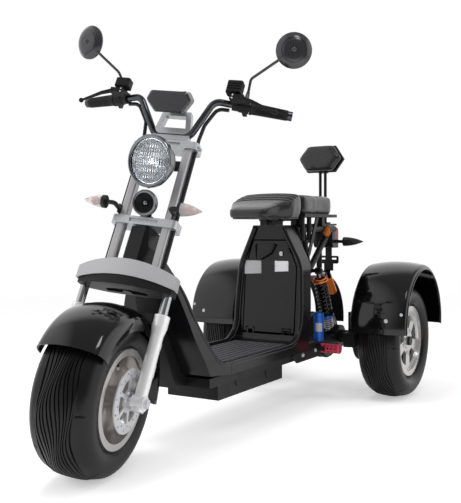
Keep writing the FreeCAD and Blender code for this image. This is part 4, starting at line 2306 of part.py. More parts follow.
fork_nodes = {
    "fork_crown": crown,
    "crown_cover": crown_cover,
    "upper_fork_tubes": upper_tubes,
    "stanchions": stanchions,
    "sliders": sliders,
    "yokes": yokes,
    "handlebar": handlebar,
    "grips": grips,
    "switchgear": switchgear,
    "brake_levers": brake_levers,
    "mirrors": mirrors,
    "mirror_glasses": mirror_glasses,
    "display": display,
    "headlight": headlight,
    "lamp_brackets": lambda: group([lamp_bracket(), horn_bracket()]),
    "headlight_lens": headlight_lens,
    "horn": horn,
    "front_indicators": front_indicators,
    "cables": cables,
}
upright_steered_nodes = {
    "front_axle": front_axle,
    "front_guard": front_guard,
    "front_guard_stays": front_guard_stays,
    "front_caliper": front_caliper,
    "front_tyre": lambda: tyre(0, 0, front_tyre_width, front_rim_width),
    "front_rim": lambda: rim(0, 0, front_rim_width, -front_spoke_outset, front_axle_radius + running_gap,
                             disc_offset - 0.5 * disc_thickness),
    "front_brake_disc": front_brake_disc,
}
rear_wheel_nodes = {
    "rear_tyre_left": lambda: tyre(rear_half_track, wheelbase, rear_tyre_width, rear_rim_width),
    "rear_rim_left": lambda: rim(rear_half_track, wheelbase, rear_rim_width, rear_spoke_outset,
                                 rear_axle_radius + running_gap, rear_disc_x, True),
    "rear_tyre_right": lambda: mirrored(tyre(rear_half_track, wheelbase, rear_tyre_width, rear_rim_width)),
    "rear_rim_right": lambda: mirrored(rim(rear_half_track, wheelbase, rear_rim_width, rear_spoke_outset,
                                           rear_axle_radius + running_gap, rear_disc_x, True)),
}


def build_all():
    made = {}
    for name, maker in root_nodes.items():
        made[name] = maker()
    for name, maker in fork_nodes.items():
        made[name] = parked(tilted(maker()))
    for name, maker in upright_steered_nodes.items():
        made[name] = parked(maker())
    for name, maker in rear_wheel_nodes.items():
        made[name] = maker()
    front_edge = made["front_tyre"].optimalBoundingBox().YMin
    rear_edge = max(made["rear_guard_left"].optimalBoundingBox().YMax, wheelbase + tyre_radius)
    shift = V(0, -0.5 * (front_edge + rear_edge), 0)
    for name in made:
        made[name].translate(shift)
    return made


os.makedirs("parts", exist_ok=True)
for node_name, node_shape in build_all().items():
    node_shape.exportStep("parts/" + node_name + ".step")
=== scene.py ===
import json
import math

import bmesh
import bpy
from mathutils import Matrix, Vector


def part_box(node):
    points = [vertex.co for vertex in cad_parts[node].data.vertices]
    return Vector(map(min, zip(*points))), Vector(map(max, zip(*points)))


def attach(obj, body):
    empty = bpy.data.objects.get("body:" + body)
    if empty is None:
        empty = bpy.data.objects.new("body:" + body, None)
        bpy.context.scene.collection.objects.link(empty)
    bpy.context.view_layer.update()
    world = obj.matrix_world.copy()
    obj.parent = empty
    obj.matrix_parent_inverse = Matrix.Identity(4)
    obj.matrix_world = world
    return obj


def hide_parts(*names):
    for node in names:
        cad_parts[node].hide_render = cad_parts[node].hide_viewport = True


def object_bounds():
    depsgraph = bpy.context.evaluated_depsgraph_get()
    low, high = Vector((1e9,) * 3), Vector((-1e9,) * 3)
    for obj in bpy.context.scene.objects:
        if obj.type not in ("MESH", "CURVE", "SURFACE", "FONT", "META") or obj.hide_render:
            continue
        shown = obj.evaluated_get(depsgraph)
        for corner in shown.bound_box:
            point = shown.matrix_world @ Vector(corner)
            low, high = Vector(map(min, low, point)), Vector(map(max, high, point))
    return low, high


bl_info = {
    "name": "Electric trike",
    "version": (1, 0, 0),
    "blender": (4, 5, 0),
    "location": "3D Viewport > Sidebar > Trike",
    "description": "Finishes, tyres, springs, lamps, controls, seats and stage of an electric trike",
    "category": "Object",
}

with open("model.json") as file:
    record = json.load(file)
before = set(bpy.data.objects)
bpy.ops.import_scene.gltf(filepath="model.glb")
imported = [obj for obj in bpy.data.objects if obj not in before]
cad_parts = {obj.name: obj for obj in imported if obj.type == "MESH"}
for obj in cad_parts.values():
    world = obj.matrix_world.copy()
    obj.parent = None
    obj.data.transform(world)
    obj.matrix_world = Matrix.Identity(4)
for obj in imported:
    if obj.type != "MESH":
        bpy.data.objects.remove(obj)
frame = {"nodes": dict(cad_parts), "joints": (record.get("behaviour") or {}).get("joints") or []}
frame_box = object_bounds()
nodes = frame["nodes"]
finishes = {}

# Every length is in metres, unless its name ends in mm or a docstring says that it is in millimetres.
# The front faces -Y, the vehicle's left is +X, +Z is up.


# Sizes and colours that a user would change

def length(label, text, value):
    return bpy.props.FloatProperty(name=label, description=text, default=value, min=0.0, unit="LENGTH")


def colour(label, text, value):
    return bpy.props.StringProperty(name=label, description=text, default=value)


class TrikeSizes(bpy.types.PropertyGroup):
    """Sizes of what the scene adds to the frame."""
    tyre_radius: length("Tyre radius", "Outer radius of all three tyres", 0.229)
    front_tyre_width: length("Front tyre width", "Width of the front tyre", 0.182)
    rear_tyre_width: length("Rear tyre width", "Width of each rear tyre", 0.168)
    bead_radius: length("Bead radius", "Radius at which a tyre sits on its rim", 0.1272)
    groove_width: length("Groove width", "Width of a groove in the tread", 0.0036)
    groove_depth: length("Groove depth", "Depth of a groove in the tread", 0.0040)
    groove_wave: length("Groove wave", "How far a groove wanders to each side", 0.0075)
    spring_wire: length("Spring wire", "Wire radius of a shock absorber's spring", 0.0048)
    seat_swell: length("Seat swell", "Most that a seat's cover may swell", 0.005)
    bolt_radius: length("Bolt radius", "Radius of a mudguard bolt's head", 0.0075)
    grip_ridge: length("Grip ridge", "Height of a ridge on the grips", 0.0012)
    lens_flute: length("Lens flute", "Width of a flute in the headlight's glass", 0.0085)


class TrikeColours(bpy.types.PropertyGroup):
    """Colours of the finishes, as sRGB hex values."""
    body: colour("Body", "Painted plastic of mudguards and shields", "060607")
    cover: colour("Crown cover", "Silver grey paint of the arched cover", "B2B2B4")
    fork: colour("Fork legs", "Upper fork legs", "C0BEC0")
    rubber: colour("Tyre", "Tyre rubber", "101010")
    leather: colour("Seat cover", "Cover of the seats", "19191B")
    canister: colour("Front canister", "Anodised orange canister", "FF8028")
    reservoir: colour("Rear canister", "Anodised blue canister", "2C68D0")
    peg: colour("Foot peg", "Anodised red foot peg", "E64C68")


# Helpers for finishes

def linear(hex_value):
    """Turns an sRGB hex value into the linear colour that a shader socket takes."""
    shares = [int(hex_value[i:i + 2], 16) / 255 for i in (0, 2, 4)]
    return [c / 12.92 if c <= 0.04045 else ((c + 0.055) / 1.055) ** 2.4 for c in shares] + [1.0]


def per_mm(size):
    """Scale of a texture whose features are about that many millimetres across."""
    return 1000.0 / size


def per_band(pitch):
    """Scale of a wave texture whose bands are that many millimetres apart."""
    return per_mm(pitch) / 3.14


def add(material, kind, values, output=0, **settings):
    """Adds one node with its properties, values and links to other outputs; returns one of its outputs."""
    tree = material.node_tree
    node = tree.nodes.new("ShaderNode" + kind)
    for name, value in settings.items():
        setattr(node, name, value)
    for socket, value in values.items():
        if isinstance(value, bpy.types.NodeSocket):
            tree.links.new(value, node.inputs[socket])
        else:
            node.inputs[socket].default_value = value
    return node.outputs[output]


def start_finish(name, base, **sockets):
    """Makes a material with one principled shader; returns it, its shader and its object coordinates."""
    material = bpy.data.materials.new(name)
    material.use_nodes = True
    shader = material.node_tree.nodes["Principled BSDF"]
    shader.inputs["Base Color"].default_value = linear(base)
    for socket, value in sockets.items():
        shader.inputs[socket.replace("_", " ")].default_value = value
    finishes[name] = material
    return material, shader, add(material, "TexCoord", {}, "Object")


def join(material, output, shader, socket):
    material.node_tree.links.new(output, shader.inputs[socket])


def two_tone(material, shader, share, first, second):
    """Takes the base colour from one tone to another, as a pattern has it."""
    tone = add(material, "Mix", {0: share, 6: linear(first), 7: linear(second)}, 2, data_type="RGBA")
    join(material, tone, shader, "Base Color")


def texture(material, shader, gloss, relief=None):
    """Roughness from (pattern, lowest, highest), and relief from (pattern, strength, depth)."""
    if gloss:
        pattern, low, high = gloss
        rough = add(material, "MapRange", {"Value": pattern, "To Min": low, "To Max": high})
        join(material, rough, shader, "Roughness")
    if relief:
        pattern, strength, depth = relief
        bump = add(material, "Bump", {"Height": pattern, "Strength": strength, "Distance": depth})
        join(material, bump, shader, "Normal")


def clouded(name, base, size, detail, gloss, relief=None, **sockets):
    """Finish with one cloudy pattern of a size in millimetres, which sets its gloss, its relief or both."""
    material, shader, place = start_finish(name, base, **sockets)
    cloud = add(material, "TexNoise", {"Vector": place, "Scale": per_mm(size), "Detail": detail})
    texture(material, shader, gloss and (cloud, *gloss), relief and (cloud, *relief))


# Finishes

def gloss_black_plastic(base):
    """Injection moulded ABS under gloss paint: near black, faint orange peel, a little uneven polish."""
    material, shader, place = start_finish("gloss_black_plastic", base, Specular_IOR_Level=0.45,
                                           Coat_Weight=0.45, Coat_Roughness=0.03)
    polish = add(material, "TexNoise", {"Vector": place, "Scale": per_mm(70), "Detail": 3.0})
    peel = add(material, "TexNoise", {"Vector": place, "Scale": per_mm(5), "Detail": 1.0})
    texture(material, shader, (polish, 0.06, 0.14), (peel, 0.05, 0.0004))


def satin_black_plastic():
    """Moulded ABS with a fine spark-eroded grain, drawn at 1.6 mm so that it shows: soft, even sheen."""
    material, shader, place = start_finish("satin_black_plastic", "08080A", Specular_IOR_Level=0.32)
    wear = add(material, "TexNoise", {"Vector": place, "Scale": per_mm(90), "Detail": 4.0})
    grain = add(material, "TexNoise", {"Vector": place, "Scale": per_mm(1.6), "Detail": 2.0})
    texture(material, shader, (wear, 0.24, 0.38), (grain, 0.18, 0.0004))


def powder_coated_steel():
    """Steel tube under black powder coat: slightly pebbled at 2 mm, satin."""
    material, shader, place = start_finish("powder_coated_steel", "151517", Specular_IOR_Level=0.36)
    tone = add(material, "TexNoise", {"Vector": place, "Scale": per_mm(45), "Detail": 3.0})
    pebble = add(material, "TexVoronoi", {"Vector": place, "Scale": per_mm(2)}, feature="SMOOTH_F1")
    texture(material, shader, (tone, 0.34, 0.50), (pebble, 0.15, 0.0004))


def matt_black_plastic():
    """Glass-filled nylon housings: dull, dry black with a fine 1.2 mm grain."""
    clouded("matt_black_plastic", "0E0E10", 1.2, 2.0, (0.46, 0.62), (0.22, 0.0003),
            Specular_IOR_Level=0.34)


def silver_painted_cover(base):
    """Pressed cover under silver grey paint: smooth, with the fine 0.9 mm glitter of metal flake."""
    material, shader, place = start_finish("silver_painted_cover", base, Metallic=0.25,
                                           Coat_Weight=0.3, Coat_Roughness=0.12)
    flake = add(material, "TexVoronoi", {"Vector": place, "Scale": per_mm(0.9)})
    texture(material, shader, (flake, 0.34, 0.46))


def satin_anodised_tube(base):
    """Extruded aluminium tube, brushed along its length and anodised: satin grey with fine streaks."""
    material, shader, place = start_finish("satin_anodised_tube", base, Metallic=0.7)
    along = add(material, "Mapping", {"Vector": place, "Rotation": fork_turn(),
                                      "Scale": (per_mm(0.8), per_mm(0.8), per_mm(60))})
    streak = add(material, "TexNoise", {"Vector": along, "Scale": 1.0, "Detail": 3.0})
    texture(material, shader, (streak, 0.26, 0.42), (streak, 0.12, 0.0002))


def cast_aluminium():
    """Die-cast aluminium with a silver lacquer: bright, with the soft 3 mm unevenness of a casting."""
    clouded("cast_aluminium", "F4F4F5", 3, 3.0, (0.28, 0.44), (0.18, 0.0005), Metallic=0.5,
            Coat_Weight=0.4, Coat_Roughness=0.1)


def milled_aluminium():
    """Aluminium milled from the solid: bright, with cutter marks drawn 3 mm apart so that they show."""
    material, shader, place = start_finish("milled_aluminium", "C4C5C8", Metallic=0.6)
    marks = add(material, "TexWave", {"Vector": place, "Scale": per_band(3), "Distortion": 1.2,
                                      "Detail": 2.0}, "Fac", bands_direction="X")
    texture(material, shader, (marks, 0.20, 0.34), (marks, 0.12, 0.0002))


def chrome_plate(name, base, low, high):
    """Hard chrome on polished steel: mirror bright where it is low, with a breath of haze from handling."""
    clouded(name, base, 30, 3.0, (low, high), Metallic=1.0)


def zinc_plated_steel():
    """Turned steel under clear zinc: cool silver grey, slightly cloudy."""
    clouded("zinc_plated_steel", "DDDEE1", 8, 4.0, (0.24, 0.42), Metallic=0.55)


def polished_alloy():
    """Spun and polished aluminium rim under clear lacquer: bright, with a 12 mm unevenness of the polish."""
    clouded("polished_alloy", "D6D2D0", 12, 4.0, (0.14, 0.30), (0.06, 0.0004), Metallic=0.8,
            Coat_Weight=0.4, Coat_Roughness=0.08)


def tyre_rubber(base):
    """Cured tyre rubber: deep black with a dull sheen, a 1.5 mm grain and a faint grey bloom."""
    material, shader, place = start_finish("tyre_rubber", base, Specular_IOR_Level=0.38)
    bloom = add(material, "TexNoise", {"Vector": place, "Scale": per_mm(55), "Detail": 5.0})
    grain = add(material, "TexNoise", {"Vector": place, "Scale": per_mm(1.5), "Detail": 2.0})
    two_tone(material, shader, bloom, "0A0A0A", "131312")
    texture(material, shader, (bloom, 0.22, 0.42), (grain, 0.2, 0.0004))


def grip_rubber():
    """Soft moulded rubber of the grips: black, matt, with a fine grain of 2 mm cells."""
    material, shader, place = start_finish("grip_rubber", "151515", Specular_IOR_Level=0.35)
    grain = add(material, "TexVoronoi", {"Vector": place, "Scale": per_mm(2)})
    texture(material, shader, (grain, 0.44, 0.62), (grain, 0.3, 0.0004))


def floor_mat_rubber():
    """Ribbed floor mat of grey rubber: dusty, matt, mottled over 40 mm."""
    material, shader, place = start_finish("floor_mat_rubber", "4A494C", Specular_IOR_Level=0.35)
    dust = add(material, "TexNoise", {"Vector": place, "Scale": per_mm(40), "Detail": 5.0})
    grain = add(material, "TexNoise", {"Vector": place, "Scale": per_mm(1.4), "Detail": 2.0})
    two_tone(material, shader, dust, "3E3D40", "5C5A5E")
    texture(material, shader, (dust, 0.5, 0.7), (grain, 0.25, 0.0004))


def seat_vinyl(base):
    """Vinyl seat cover embossed with a leather grain of 3 mm cells: soft black with a broad sheen."""
    material, shader, place = start_finish("seat_vinyl", base, Specular_IOR_Level=0.6,
                                           Sheen_Weight=0.15, Sheen_Roughness=0.5)
    cells = add(material, "TexVoronoi", {"Vector": place, "Scale": per_mm(3)}, feature="DISTANCE_TO_EDGE")
    crease = add(material, "MapRange", {"Value": cells, "From Max": 0.25})
    fine = add(material, "TexNoise", {"Vector": place, "Scale": per_mm(30), "Detail": 4.0})
    texture(material, shader, (fine, 0.20, 0.30), (crease, 0.16, 0.0005))


def anodised(name, base):
    """Turned aluminium, bead blasted and dyed while anodised: metallic colour with a fine 1 mm sparkle."""
    clouded(name, base, 1, 2.0, (0.24, 0.38), Metallic=0.4)


def spring_enamel():
    """Spring steel under black enamel: glossy, with a slight ripple of 4 mm."""
    clouded("spring_enamel", "0E0E0F", 4, 2.0, (0.16, 0.28), Specular_IOR_Level=0.5)


def clear_glass():
    """Pressed lamp glass: clear, with a slight waviness of 9 mm from the mould."""
    clouded("clear_glass", "F4F7FA", 9, 1.0, None, (0.1, 0.0004), Transmission_Weight=1.0, Roughness=0.02,
            IOR=1.45)


def mirror_silvering():
    """Silvered mirror glass: sharp reflection with a faint haze of 25 mm."""
    clouded("mirror_silvering", "C8CCD0", 25, 2.0, (0.01, 0.04), Metallic=1.0)


def coloured_lens(name, base):
    """Moulded acrylic lens dyed through: glossy and saturated, with optic cells of 4 mm inside."""
    material, shader, place = start_finish(name, base, Transmission_Weight=0.35, IOR=1.49)
    cells = add(material, "TexVoronoi", {"Vector": place, "Scale": per_mm(4)}, distance="CHEBYCHEV")
    texture(material, shader, (cells, 0.08, 0.2), (cells, 0.3, 0.0005))


def beyond(material, place, origin, direction, limit, both_ways=False):
    """0 before a plane across a direction and 1 behind it; both ways, also 1 behind its mirror image."""
    soft = 0.0002
    axis = Vector(direction).normalized()
    along = add(material, "VectorMath", {0: place, 1: axis}, "Value", operation="DOT_PRODUCT")
    reach = add(material, "Math", {0: along, 1: axis.dot(Vector(origin))}, operation="SUBTRACT")
    if both_ways:
        reach = add(material, "Math", {0: reach}, operation="ABSOLUTE")
    return add(material, "MapRange", {"Value": reach, "From Min": limit - soft, "From Max": limit + soft})


def lens_on_housing(name, lens_base, lens_clear, wall_base, share):
    """Lamp of two mouldings: a dull black housing up to a plane, then a glossy lens with 4 mm cells."""
    material, shader, place = start_finish(name, lens_base, IOR=1.49)
    in_lens = share(material, place)
    two_tone(material, shader, in_lens, wall_base, lens_base)
    clear = add(material, "MapRange", {"Value": in_lens, "To Max": lens_clear})
    join(material, clear, shader, "Transmission Weight")
    grain = add(material, "TexNoise", {"Vector": place, "Scale": per_mm(2), "Detail": 2.0})
    dull = add(material, "MapRange", {"Value": grain, "To Min": 0.30, "To Max": 0.44})
    join(material, add(material, "Mix", {0: in_lens, 2: dull, 3: 0.06}), shader, "Roughness")
    cells = add(material, "TexVoronoi", {"Vector": place, "Scale": per_mm(4)})
    raised = add(material, "Math", {0: cells, 1: in_lens}, operation="MULTIPLY")
    texture(material, shader, None, (raised, 0.25, 0.0005))


def lamp_lenses():
    """The finishes of lamps whose housing and lens are one solid of the frame."""
    front_lens_start = 0.128
    rear_lens_start = 0.100
    tail_lens_start = spot(0, 1552, 640)
    across = fork_frame().to_3x3() @ Vector((1, 0, 0))
    centre = fork_spot(0, *indicator_place_mm[1:])
    lens_on_housing("front_indicator_lens", "F6F4F2", 0.62, "141415",
                    lambda m, p: beyond(m, p, centre, across, front_lens_start, True))
    lens_on_housing("rear_indicator_lens", "28282B", 0.15, "141415",
                    lambda m, p: beyond(m, p, (0, 0, 0), (1, 0, 0), rear_lens_start, True))

    def behind_and_high(material, place):
        back = beyond(material, place, tail_lens_start, (0, 1, 0), 0)
        high = beyond(material, place, tail_lens_start, (0, 0, 1), 0)
        return add(material, "Math", {0: back, 1: high}, operation="MULTIPLY")

    lens_on_housing("tail_lamp_lens", "A8121C", 0.4, "121213", behind_and_high)


def wrapped_loom():
    """Cable loom in black spiral wrap: a turn every 9 mm, each with its own edge, satin; the colour is
    darker in the grooves between turns and lighter on their crowns, as painted shade.
    """
    material, shader, place = start_finish("wrapped_loom", "121213", Specular_IOR_Level=0.45, Roughness=0.34)
    along = add(material, "Mapping", {"Vector": place, "Rotation": fork_turn()})
    turns = add(material, "TexWave", {"Vector": along, "Scale": per_band(9), "Distortion": 0.4}, "Fac",
                bands_direction="Z")
    # Painted shade: the colour darkens in the grooves between turns, where the relief is low, and lightens
    # on the crowns.
    two_tone(material, shader, turns, "060606", "202022")
    texture(material, shader, None, (turns, 0.9, 0.0015))


def blank_label():
    """Blank printed film under clear lacquer: pale grey, slightly glossy, with a 6 mm ripple of the glue."""
    clouded("blank_label", "B4B4B6", 6, 2.0, (0.22, 0.38), (0.08, 0.0003), Specular_IOR_Level=0.5)


def blank_plate():
    """Blank enamelled plate: white, glossy, with a slight 20 mm unevenness."""
    clouded("blank_plate", "ECECEE", 20, 2.0, (0.14, 0.28), Specular_IOR_Level=0.5)


def bright_reflector():
    """Vacuum-metallised plastic behind the headlight's glass: bright silver, milky, rippled over 7 mm."""
    clouded("bright_reflector", "F0F1F3", 7, 2.0, (0.10, 0.22), (0.5, 0.001), Metallic=0.55)


def machined_rim_with_painted_shade():
    """Alloy wheel faced on a lathe, under clear coat: bright spokes and lip; everything deeper than the face
    is black, painted shade in the windows and inside the rim.
    """
    material, shader, place = start_finish("machined_rim_with_painted_shade", "DDDBDA", Coat_Weight=0.5,
                                           Coat_Roughness=0.06)
    machined = beyond(material, place, (0, 0, 0), (1, 0, 0), rim_face, True)
    # Black deeper than the face plane: painted shade in the windows and inside the rim; the face beyond it
    # is bright.
    two_tone(material, shader, machined, "08080A", "DDDBDA")
    join(material, add(material, "MapRange", {"Value": machined, "To Max": 0.75}), shader, "Metallic")
    polish = add(material, "TexNoise", {"Vector": place, "Scale": per_mm(12), "Detail": 4.0})
    texture(material, shader, (polish, 0.14, 0.30))


def sheen_painted_black_shell():
    """Glossy black moulding of mirrors and display under a hard coat, with faint 40 mm unevenness; its base
    is dark grey, a painted reflection that makes it lighter than the other black plastics.
    """
    # The dark grey base is a painted reflection on the black shells of mirrors and display.
    clouded("sheen_painted_black_shell", "29292D", 40, 3.0, (0.16, 0.30), Specular_IOR_Level=0.6, Coat_Weight=0.6,
            Coat_Roughness=0.08)


def satin_tower_plastic():
    """Blow-moulded panels of tower and door: black, soft gloss, with the 25 mm flow marks of the mould."""
    clouded("satin_tower_plastic", "121214", 25, 3.0, (0.17, 0.28), (0.05, 0.0006),
            Specular_IOR_Level=0.42)


def display_glass():
    """Scratch-resistant window of the display: near black, glossy, with a faint haze of wiping."""
    clouded("display_glass", "08090B", 18, 4.0, (0.04, 0.16), Specular_IOR_Level=0.5)


def dyed_bulb_glass():
    """Dyed bulb inside an indicator: deep red glass, glossy."""
    clouded("dyed_bulb_glass", "C03018", 3, 2.0, (0.08, 0.2), Specular_IOR_Level=0.5)


slot_finishes = {
    "black_body": "gloss_black_plastic",
    "black_steel": "powder_coated_steel",
    "matte_black": "matt_black_plastic",
    "grey_cover": "silver_painted_cover",
    "grey_tube": "satin_anodised_tube",
    "cast_silver": "cast_aluminium",
    "milled_silver": "milled_aluminium",
    "chrome": "chrome_plate",
    "steel": "zinc_plated_steel",
    "tyre": "tyre_rubber",
    "rubber": "grip_rubber",
    "mat": "floor_mat_rubber",
    "seat_leather": "seat_vinyl",
    "clear_lens": "clear_glass",
    "mirror_glass": "mirror_silvering",
    "red_lens": "tail_lamp_lens",
    "amber_lens": "amber_acrylic",
    "orange_anodised": "orange_anodised",
    "blue_anodised": "blue_anodised",
    "red_anodised": "red_anodised",
}
node_finishes = {
    "leg_shield": "satin_tower_plastic",
    "floor_panel": "satin_tower_plastic",
    "seat_tower": "satin_tower_plastic",
    "battery_door": "satin_tower_plastic",
    "neck_cover": "satin_black_plastic",
    "front_rim": "polished_alloy",
    "rear_rim_left": "machined_rim_with_painted_shade",
    "rear_rim_right": "machined_rim_with_painted_shade",
    "shock_springs": "spring_enamel",
    "shock_bodies": "dark_chrome",
    "front_indicators": "front_indicator_lens",
    "rear_indicators": "rear_indicator_lens",
    "front_caliper": "matt_black_plastic",
    "rear_axle": "powder_coated_steel",
    "rear_calipers": "matt_black_plastic",
    "cables": "wrapped_loom",
    "stanchions": "chrome_plate",
    "handlebar": "satin_chrome",
    "headlight": "dark_chrome",
    "mirrors": "sheen_painted_black_shell",
    "display": "sheen_painted_black_shell",
}


# Frames of the moving groups, read from the joints

steering_axis_lead = 0.0977
rake_deg = 26.1
rim_face = 0.4035


def joint(name):
    return next(j for j in frame["joints"] if j["name"] == name)


def frame_of(axes, origin):
    """Matrix of a frame from its three axes and its origin."""
    matrix = Matrix(axes).transposed().to_4x4()
    matrix.translation = Vector(origin)
    return matrix


def frame_on(origin, across, up):
    """Matrix of a frame whose X runs across and whose Z is as near to up as that allows."""
    x = Vector(across).normalized()
    z = (Vector(up) - x * x.dot(Vector(up))).normalized()
    return frame_of((x, z.cross(x), z), origin)


def fork_frame():
    """X across the fork, Y behind the steering axis, Z along it from where it meets the floor."""
    steering = joint("steering_turn")
    return frame_on(steering["pos_m"], joint("front_wheel_spin")["axis"], steering["axis"])


def fork_turn():
    return fork_frame().inverted().to_euler()


def spot(x, y, z):
    """Point of the frame from millimetres across, behind and above the front tyre's foot on the floor."""
    contact = joint("steering_turn")["pos_m"][1] + steering_axis_lead
    return Vector((x / 1000, y / 1000 + contact, z / 1000))


def fork_spot(x, behind, along):
    """Point of the frame from millimetres in the fork's frame."""
    return fork_frame() @ Vector((x / 1000, behind / 1000, along / 1000))


def turned(matrix, degrees, axis):
    return matrix @ Matrix.Rotation(math.radians(degrees), 4, axis)


def facing_forward(x, behind, along, turn_deg=0.0):
    """Frame on the fork whose Z looks ahead, level with the floor; places are in millimetres."""
    level = turned(fork_frame() @ Matrix.Translation((x / 1000, behind / 1000, along / 1000)), rake_deg, "X")
    return turned(turned(level, turn_deg, "Z"), 90, "X")


def wheel_frame(name):
    spin = joint(name)
    return frame_on(spin["pos_m"], spin["axis"], (0, 0, 1))


# Helpers for pieces

proud = 0.0002


def mirrored(place, side):
    """A place on the left for side 1, and its mirror image for side -1."""
    x, y, z = place
    return Vector((side * x, y, z))


def shown(name, data):
    """A new object with that data in the scene."""
    shape = bpy.data.objects.new(name, data)
    bpy.context.scene.collection.objects.link(shape)
    return shape


def finished_piece(name, bm, body, finish, smooth_deg=40.0, matrix=None, replaced=()):
    """Turns a bmesh into a piece in its place, which rides on a body, wears its finishes and has a slot."""
    if matrix is not None:
        bmesh.ops.transform(bm, matrix=matrix, verts=bm.verts)
    bmesh.ops.recalc_face_normals(bm, faces=bm.faces)
    mesh = bpy.data.meshes.new(name)
    bm.to_mesh(mesh)
    bm.free()
    mesh.shade_smooth()
    mesh.set_sharp_from_angle(angle=math.radians(smooth_deg))
    shape = shown(name, mesh)
    for each in [finish] if isinstance(finish, str) else finish:
        mesh.materials.append(finishes[each])
    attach(shape, body)
    if replaced:
        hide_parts(*replaced)


def spun(points, steps, axis=(1, 0, 0), degrees=360.0):
    """A new bmesh: a line of points spun round an axis through the origin."""
    bm = bmesh.new()
    verts = [bm.verts.new(p) for p in points]
    edges = [bm.edges.new(pair) for pair in zip(verts, verts[1:])]
    bmesh.ops.spin(bm, geom=verts + edges, cent=(0, 0, 0), axis=axis, dvec=(0, 0, 0), steps=steps,
                   angle=math.radians(degrees), use_merge=degrees == 360.0, use_duplicate=False)
    bmesh.ops.remove_doubles(bm, verts=bm.verts, dist=0.000002)
    return bm


def arc_points(start, through, end, count):
    """Points of the circle through three points, from the first to the last."""
    (ax, ay), (bx, by), (cx, cy) = start, through, end
    a, b, c = ax * ax + ay * ay, bx * bx + by * by, cx * cx + cy * cy
    double = 2 * (ax * (by - cy) + bx * (cy - ay) + cx * (ay - by))
    ux = (a * (by - cy) + b * (cy - ay) + c * (ay - by)) / double
    uy = (a * (cx - bx) + b * (ax - cx) + c * (bx - ax)) / double
    radius = math.hypot(ax - ux, ay - uy)
    first = math.atan2(ay - uy, ax - ux)
    middle = (math.atan2(by - uy, bx - ux) - first) % (2 * math.pi)
    sweep = (math.atan2(cy - uy, cx - ux) - first) % (2 * math.pi)
    if middle > sweep:
        sweep -= 2 * math.pi
    turns = [first + sweep * i / count for i in range(count + 1)]
    return [(ux + radius * math.cos(turn), uy + radius * math.sin(turn)) for turn in turns]


def placed(origin, along, roll_deg=0.0):
    """Frame at a point whose Z runs along a direction."""
    turn = Vector(along).to_track_quat("Z", "Y").to_matrix().to_4x4()
    return turned(Matrix.Translation(origin) @ turn, roll_deg, "Z")


def add_part(whole, part, matrix, finish=0):
    """Moves a bmesh into place, adds it to another and frees it."""
    bmesh.ops.transform(part, matrix=matrix, verts=part.verts)
    for face in part.faces:
        face.material_index += finish
    mesh = bpy.data.meshes.new("part")
    part.to_mesh(mesh)
    part.free()
    whole.from_mesh(mesh)
    bpy.data.meshes.remove(mesh)


def lathe(whole, outline, matrix, steps=24, finish=0):
    """Turns an outline of (radius, height) points about Z and adds it in place."""
    add_part(whole, spun([(r, 0.0, h) for r, h in outline], steps, (0, 0, 1)), matrix, finish)


def hex_bolt(whole, origin, along, radius):
    """Hexagon head with chamfered corners, on a flanged washer."""
    matrix = placed(origin, along)
    washer = [(0, 0), (1.35, 0), (1.35, 0.14), (1.2, 0.26), (0, 0.26)]
    lathe(whole, [(r * radius, h * radius) for r, h in washer], matrix)
    head = bmesh.new()
    bmesh.ops.create_cone(head, cap_ends=True, segments=6, radius1=radius, radius2=radius,
                          depth=0.7 * radius, matrix=Matrix.Translation((0, 0, 0.5 * radius)))
    bmesh.ops.bevel(head, geom=head.edges[:], offset=0.1 * radius, affect="EDGES", segments=2, profile=0.5,
                    material=-1)
    add_part(whole, head, matrix)


def socket_screw(whole, origin, along, radius, finish=0):
    """Button head with a sunk socket."""
    head = [(0, 0.25), (0.42, 0.25), (0.46, 0.62), (0.78, 0.5), (1, 0.2), (1, 0), (0, 0)]
    lathe(whole, [(r * radius, h * radius) for r, h in head], placed(origin, along), 20, finish)


def ring(whole, matrix, radius, wire, steps=48, flat=1.0, finish=0):
    """A wire with eight sides, bent to a ring about Z."""
    turns = [2 * math.pi * i / 8 for i in range(9)]
    outline = [(radius + wire * math.cos(turn), flat * wire * math.sin(turn)) for turn in turns]
    lathe(whole, outline, matrix, steps, finish)


def slab(whole, matrix, width, depth, height, edge, finish=0):
    """A block with rounded edges; it stands on the XY plane of its frame."""
    part = bmesh.new()
    bmesh.ops.create_cube(part, size=1.0, matrix=Matrix.Translation((0, 0, 0.5 * height))
                          @ Matrix.Diagonal((width, depth, height, 1)))
    bmesh.ops.bevel(part, geom=part.edges[:], offset=edge, affect="EDGES", segments=3, profile=0.5,
                    material=-1)
    add_part(whole, part, matrix, finish)


def sight_through(column, row):
    """Direction of the line of sight through a pixel of the photograph."""
    right, up, back = photo_axes()
    sight = ((column - 0.5 * photo_width) * right - (row - 0.5 * photo_height) * up) / focal_pixels - back
    return sight.normalized()


def seen_at(node, column, row):
    """Where the line of sight through a pixel of the photograph meets a node: the point and its normal."""
    sight = sight_through(column, row)
    hit, place, normal, _ = nodes[node].ray_cast(camera_place, sight)
    if not hit:
        raise ValueError("no surface of " + node + " at this pixel")
    return place, normal if normal.dot(sight) < 0 else -normal


def seen_on_plane(place, normal, column, row):
    """Where the line of sight through a pixel meets a plane."""
    sight = sight_through(column, row)
    return camera_place + sight * ((place - camera_place).dot(normal) / sight.dot(normal))


# Tyres

waves_per_turn = 6
steps_per_wave = 60
groove_shares = (-1.0, -0.82, -0.62, -0.47, -0.27, -0.1, 0.1, 0.27, 0.47, 0.62, 0.82, 1.0)
wave_lag = 52.0
crown_pitch = 0.0055
front_rim_width = 0.168
rear_rim_width = 0.132


